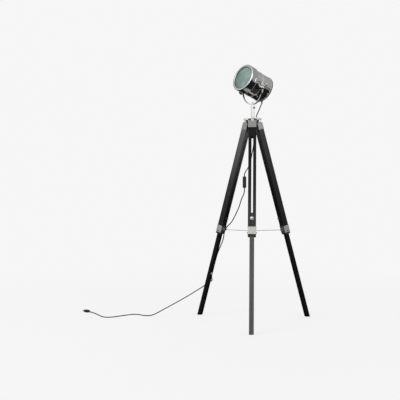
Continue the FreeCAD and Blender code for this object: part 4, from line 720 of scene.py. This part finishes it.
# ------------------------------------------------------------------ tie of the cord at the left collar
TIE_OVER, TIE_HALF_WIDTH, TIE_WIRE, TIE_LEAN = 0.0042, 0.0043, 0.0011, 0.0006
TIE_PAST_EYE = 0.0028
BLOCK_SIZE, BLOCK_EASE = (0.0052, 0.0036, 0.0046), 0.0006
knot = Vector(ROUTES["leg_upper"][-1])
eye = leg_matrix("left") @ Vector((0, -COLLAR_DEPTH / 2 - 2 * EYE_RADIUS - EYE_WIRE,
                                   -(COLLAR_TOP + COLLAR_LENGTH / 2)))
along = (Vector(ROUTES["leg_lower"][1]) - knot).normalized()
reach = eye - knot
reach = reach - along * reach.dot(along)
far = reach.length + TIE_PAST_EYE
reach.normalize()
across = along.cross(reach)
loop = []
for k in range(28):
    t = 2 * math.pi * k / 28
    share = (math.cos(t) + 1) / 2
    loop.append(knot + reach * (-TIE_OVER + (far + TIE_OVER) * share)
                + across * (TIE_HALF_WIDTH * math.sin(t)) + along * (TIE_LEAN * math.sin(2 * t)))
bm = bmesh.new()
sweep(bm, loop, TIE_WIRE, 8, True)
block = Matrix((reach, across, along)).transposed().to_4x4()
block.translation = knot + across * 0.0052 + reach * 0.002
made = bmesh.ops.create_cube(bm, size=1, matrix=block @ Matrix.Diagonal((*BLOCK_SIZE, 1)))
bmesh.ops.bevel(bm, geom=list({e for v in made["verts"] for e in v.link_edges}), offset=BLOCK_EASE,
                segments=2, affect="EDGES")
piece("cord_tie", bm, black_plastic, "upper_left")

# ------------------------------------------------------------------ floor and surroundings
PALE = (0.9216, 0.9216, 0.9216, 1)
AMBIENT = (0.62, 0.62, 0.62, 1)
FLOOR_PAINT = (0.9, 0.9, 0.9, 1)
FLOOR_HALF = 30
SCREEN = 12.0


def cleared(owner):
    """The owner's node tree, with nothing in it."""
    owner.use_nodes = True
    owner.node_tree.nodes.clear()
    return owner.node_tree


def seen_rays(tree):
    """1 for a ray from the camera, in a reflection or through glass, else 0."""
    path = tree.nodes.new("ShaderNodeLightPath")
    last = path.outputs["Is Camera Ray"]
    for other in ("Is Glossy Ray", "Is Transmission Ray"):
        larger = tree.nodes.new("ShaderNodeMath")
        larger.operation = "MAXIMUM"
        tree.links.new(last, larger.inputs[0])
        tree.links.new(path.outputs[other], larger.inputs[1])
        last = larger.outputs[0]
    return last


def mix_into(tree, output, factor, first, second):
    """Shows the first shader where the factor is 0 and the second where it is 1."""
    mixed = tree.nodes.new("ShaderNodeMixShader")
    tree.links.new(factor, mixed.inputs["Fac"])
    tree.links.new(first.outputs[0], mixed.inputs[1])
    tree.links.new(second.outputs[0], mixed.inputs[2])
    tree.links.new(mixed.outputs[0], tree.nodes.new(output).inputs["Surface"])


floor_mesh = bpy.data.meshes.new("floor")
CORNERS = ((-1, -1), (1, -1), (1, 1), (-1, 1))
floor_mesh.from_pydata([(x * FLOOR_HALF, y * FLOOR_HALF, 0) for x, y in CORNERS], [], [(0, 1, 2, 3)])
floor = bpy.data.objects.new("floor", floor_mesh)
SCENE.collection.objects.link(floor)
floor_mat = bpy.data.materials.new("floor")
tree = cleared(floor_mat)
# near the lamp a fifth of the floor is plain paint, so that the lamp's shadow shows on it
coords = tree.nodes.new("ShaderNodeTexCoord")
distance = tree.nodes.new("ShaderNodeVectorMath")
distance.operation = "LENGTH"
tree.links.new(coords.outputs["Object"], distance.inputs[0])
fade = new_node(tree, "ShaderNodeMapRange", From_Min=1.0, From_Max=3.0, To_Min=0.80, To_Max=1.0)
tree.links.new(distance.outputs["Value"], fade.inputs["Value"])
product = tree.nodes.new("ShaderNodeMath")
product.operation = "MULTIPLY"
tree.links.new(fade.outputs["Result"], product.inputs[0])
tree.links.new(seen_rays(tree), product.inputs[1])
mix_into(tree, "ShaderNodeOutputMaterial", product.outputs[0],
         new_node(tree, "ShaderNodeBsdfDiffuse", Color=FLOOR_PAINT),
         new_node(tree, "ShaderNodeEmission", Color=PALE))
floor_mesh.materials.append(floor_mat)

world = bpy.data.worlds.new("studio")
SCENE.world = world
tree = cleared(world)
mix_into(tree, "ShaderNodeOutputWorld", seen_rays(tree),
         new_node(tree, "ShaderNodeBackground", Color=AMBIENT),
         new_node(tree, "ShaderNodeBackground", Color=PALE))


def card(name, profile, direction, axis, low, stops):
    """A studio screen that only polished metal sees, graded along an axis or from its middle."""
    bm = bmesh.new()
    lathe(bm, profile, rotation_to(direction), 64)
    obj = finish_mesh(name, bm, 40)
    mat = bpy.data.materials.new(name)
    tree = cleared(mat)
    light = tree.nodes.new("ShaderNodeEmission")
    tree.links.new(shade_along(tree, axis, low, SCREEN, stops), light.inputs["Color"])
    tree.links.new(light.outputs[0], tree.nodes.new("ShaderNodeOutputMaterial").inputs["Surface"])
    mat.cycles.emission_sampling = "NONE"
    obj.data.materials.append(mat)
    obj.visible_camera = obj.visible_diffuse = obj.visible_shadow = obj.visible_transmission = False
    obj.visible_volume_scatter = False


# a disc just above the floor, dark under the lamp, and a ball open toward its bright side
DISC = [(0, 0.0004), (11.8, 0.0004)]
BALL = [(SCREEN * math.sin(math.radians(a)), SCREEN * math.cos(math.radians(a)))
        for a in range(35, 181, 5)]
OPENING = Vector((-0.5, -0.85, 0.15))
card("floor_card", DISC, (0, 0, 1), None, 0,
     [(0.0, 0.01), (0.30, 0.012), (0.40, 0.14), (0.60, 0.26), (0.96, 0.42)])
card("grey_screen", BALL, OPENING, OPENING.normalized(), -SCREEN,
     [(0.0, 0.40), (0.45, 0.46), (0.66, 0.70), (0.85, 0.92)])


# ------------------------------------------------------------------ light and camera
def softbox(name, place, target, size, power):
    light = bpy.data.lights.new(name, "AREA")
    light.shape = "RECTANGLE"
    light.size, light.size_y = size
    light.energy = power
    obj = bpy.data.objects.new(name, light)
    SCENE.collection.objects.link(obj)
    obj.location = place
    obj.rotation_euler = (Vector(target) - Vector(place)).to_track_quat("-Z", "Y").to_euler()
    return obj


LAMP_MIDDLE, LAMP_TOP = (0, 0.1, 0.8), (0, 0.1, 1.1)
softbox("key", (-2.6, -2.2, 3.4), LAMP_MIDDLE, (2.4, 2.4), 62)
softbox("fill", (3.0, -2.6, 2.2), LAMP_MIDDLE, (2.0, 2.6), 26)
softbox("rim", (0.4, 2.8, 3.2), LAMP_TOP, (3.0, 1.6), 30).visible_glossy = False

camera = bpy.data.cameras.new("camera")
camera.lens = 58.5
camera.sensor_width = 36
view = bpy.data.objects.new("camera", camera)
SCENE.collection.objects.link(view)
view.location = (0.0642, -3.6784, 0.700)
view.rotation_euler = (math.radians(90), 0, math.radians(5.6))
SCENE.camera = view
SCENE.view_settings.view_transform = "Standard"

bpy.context.view_layer.update()
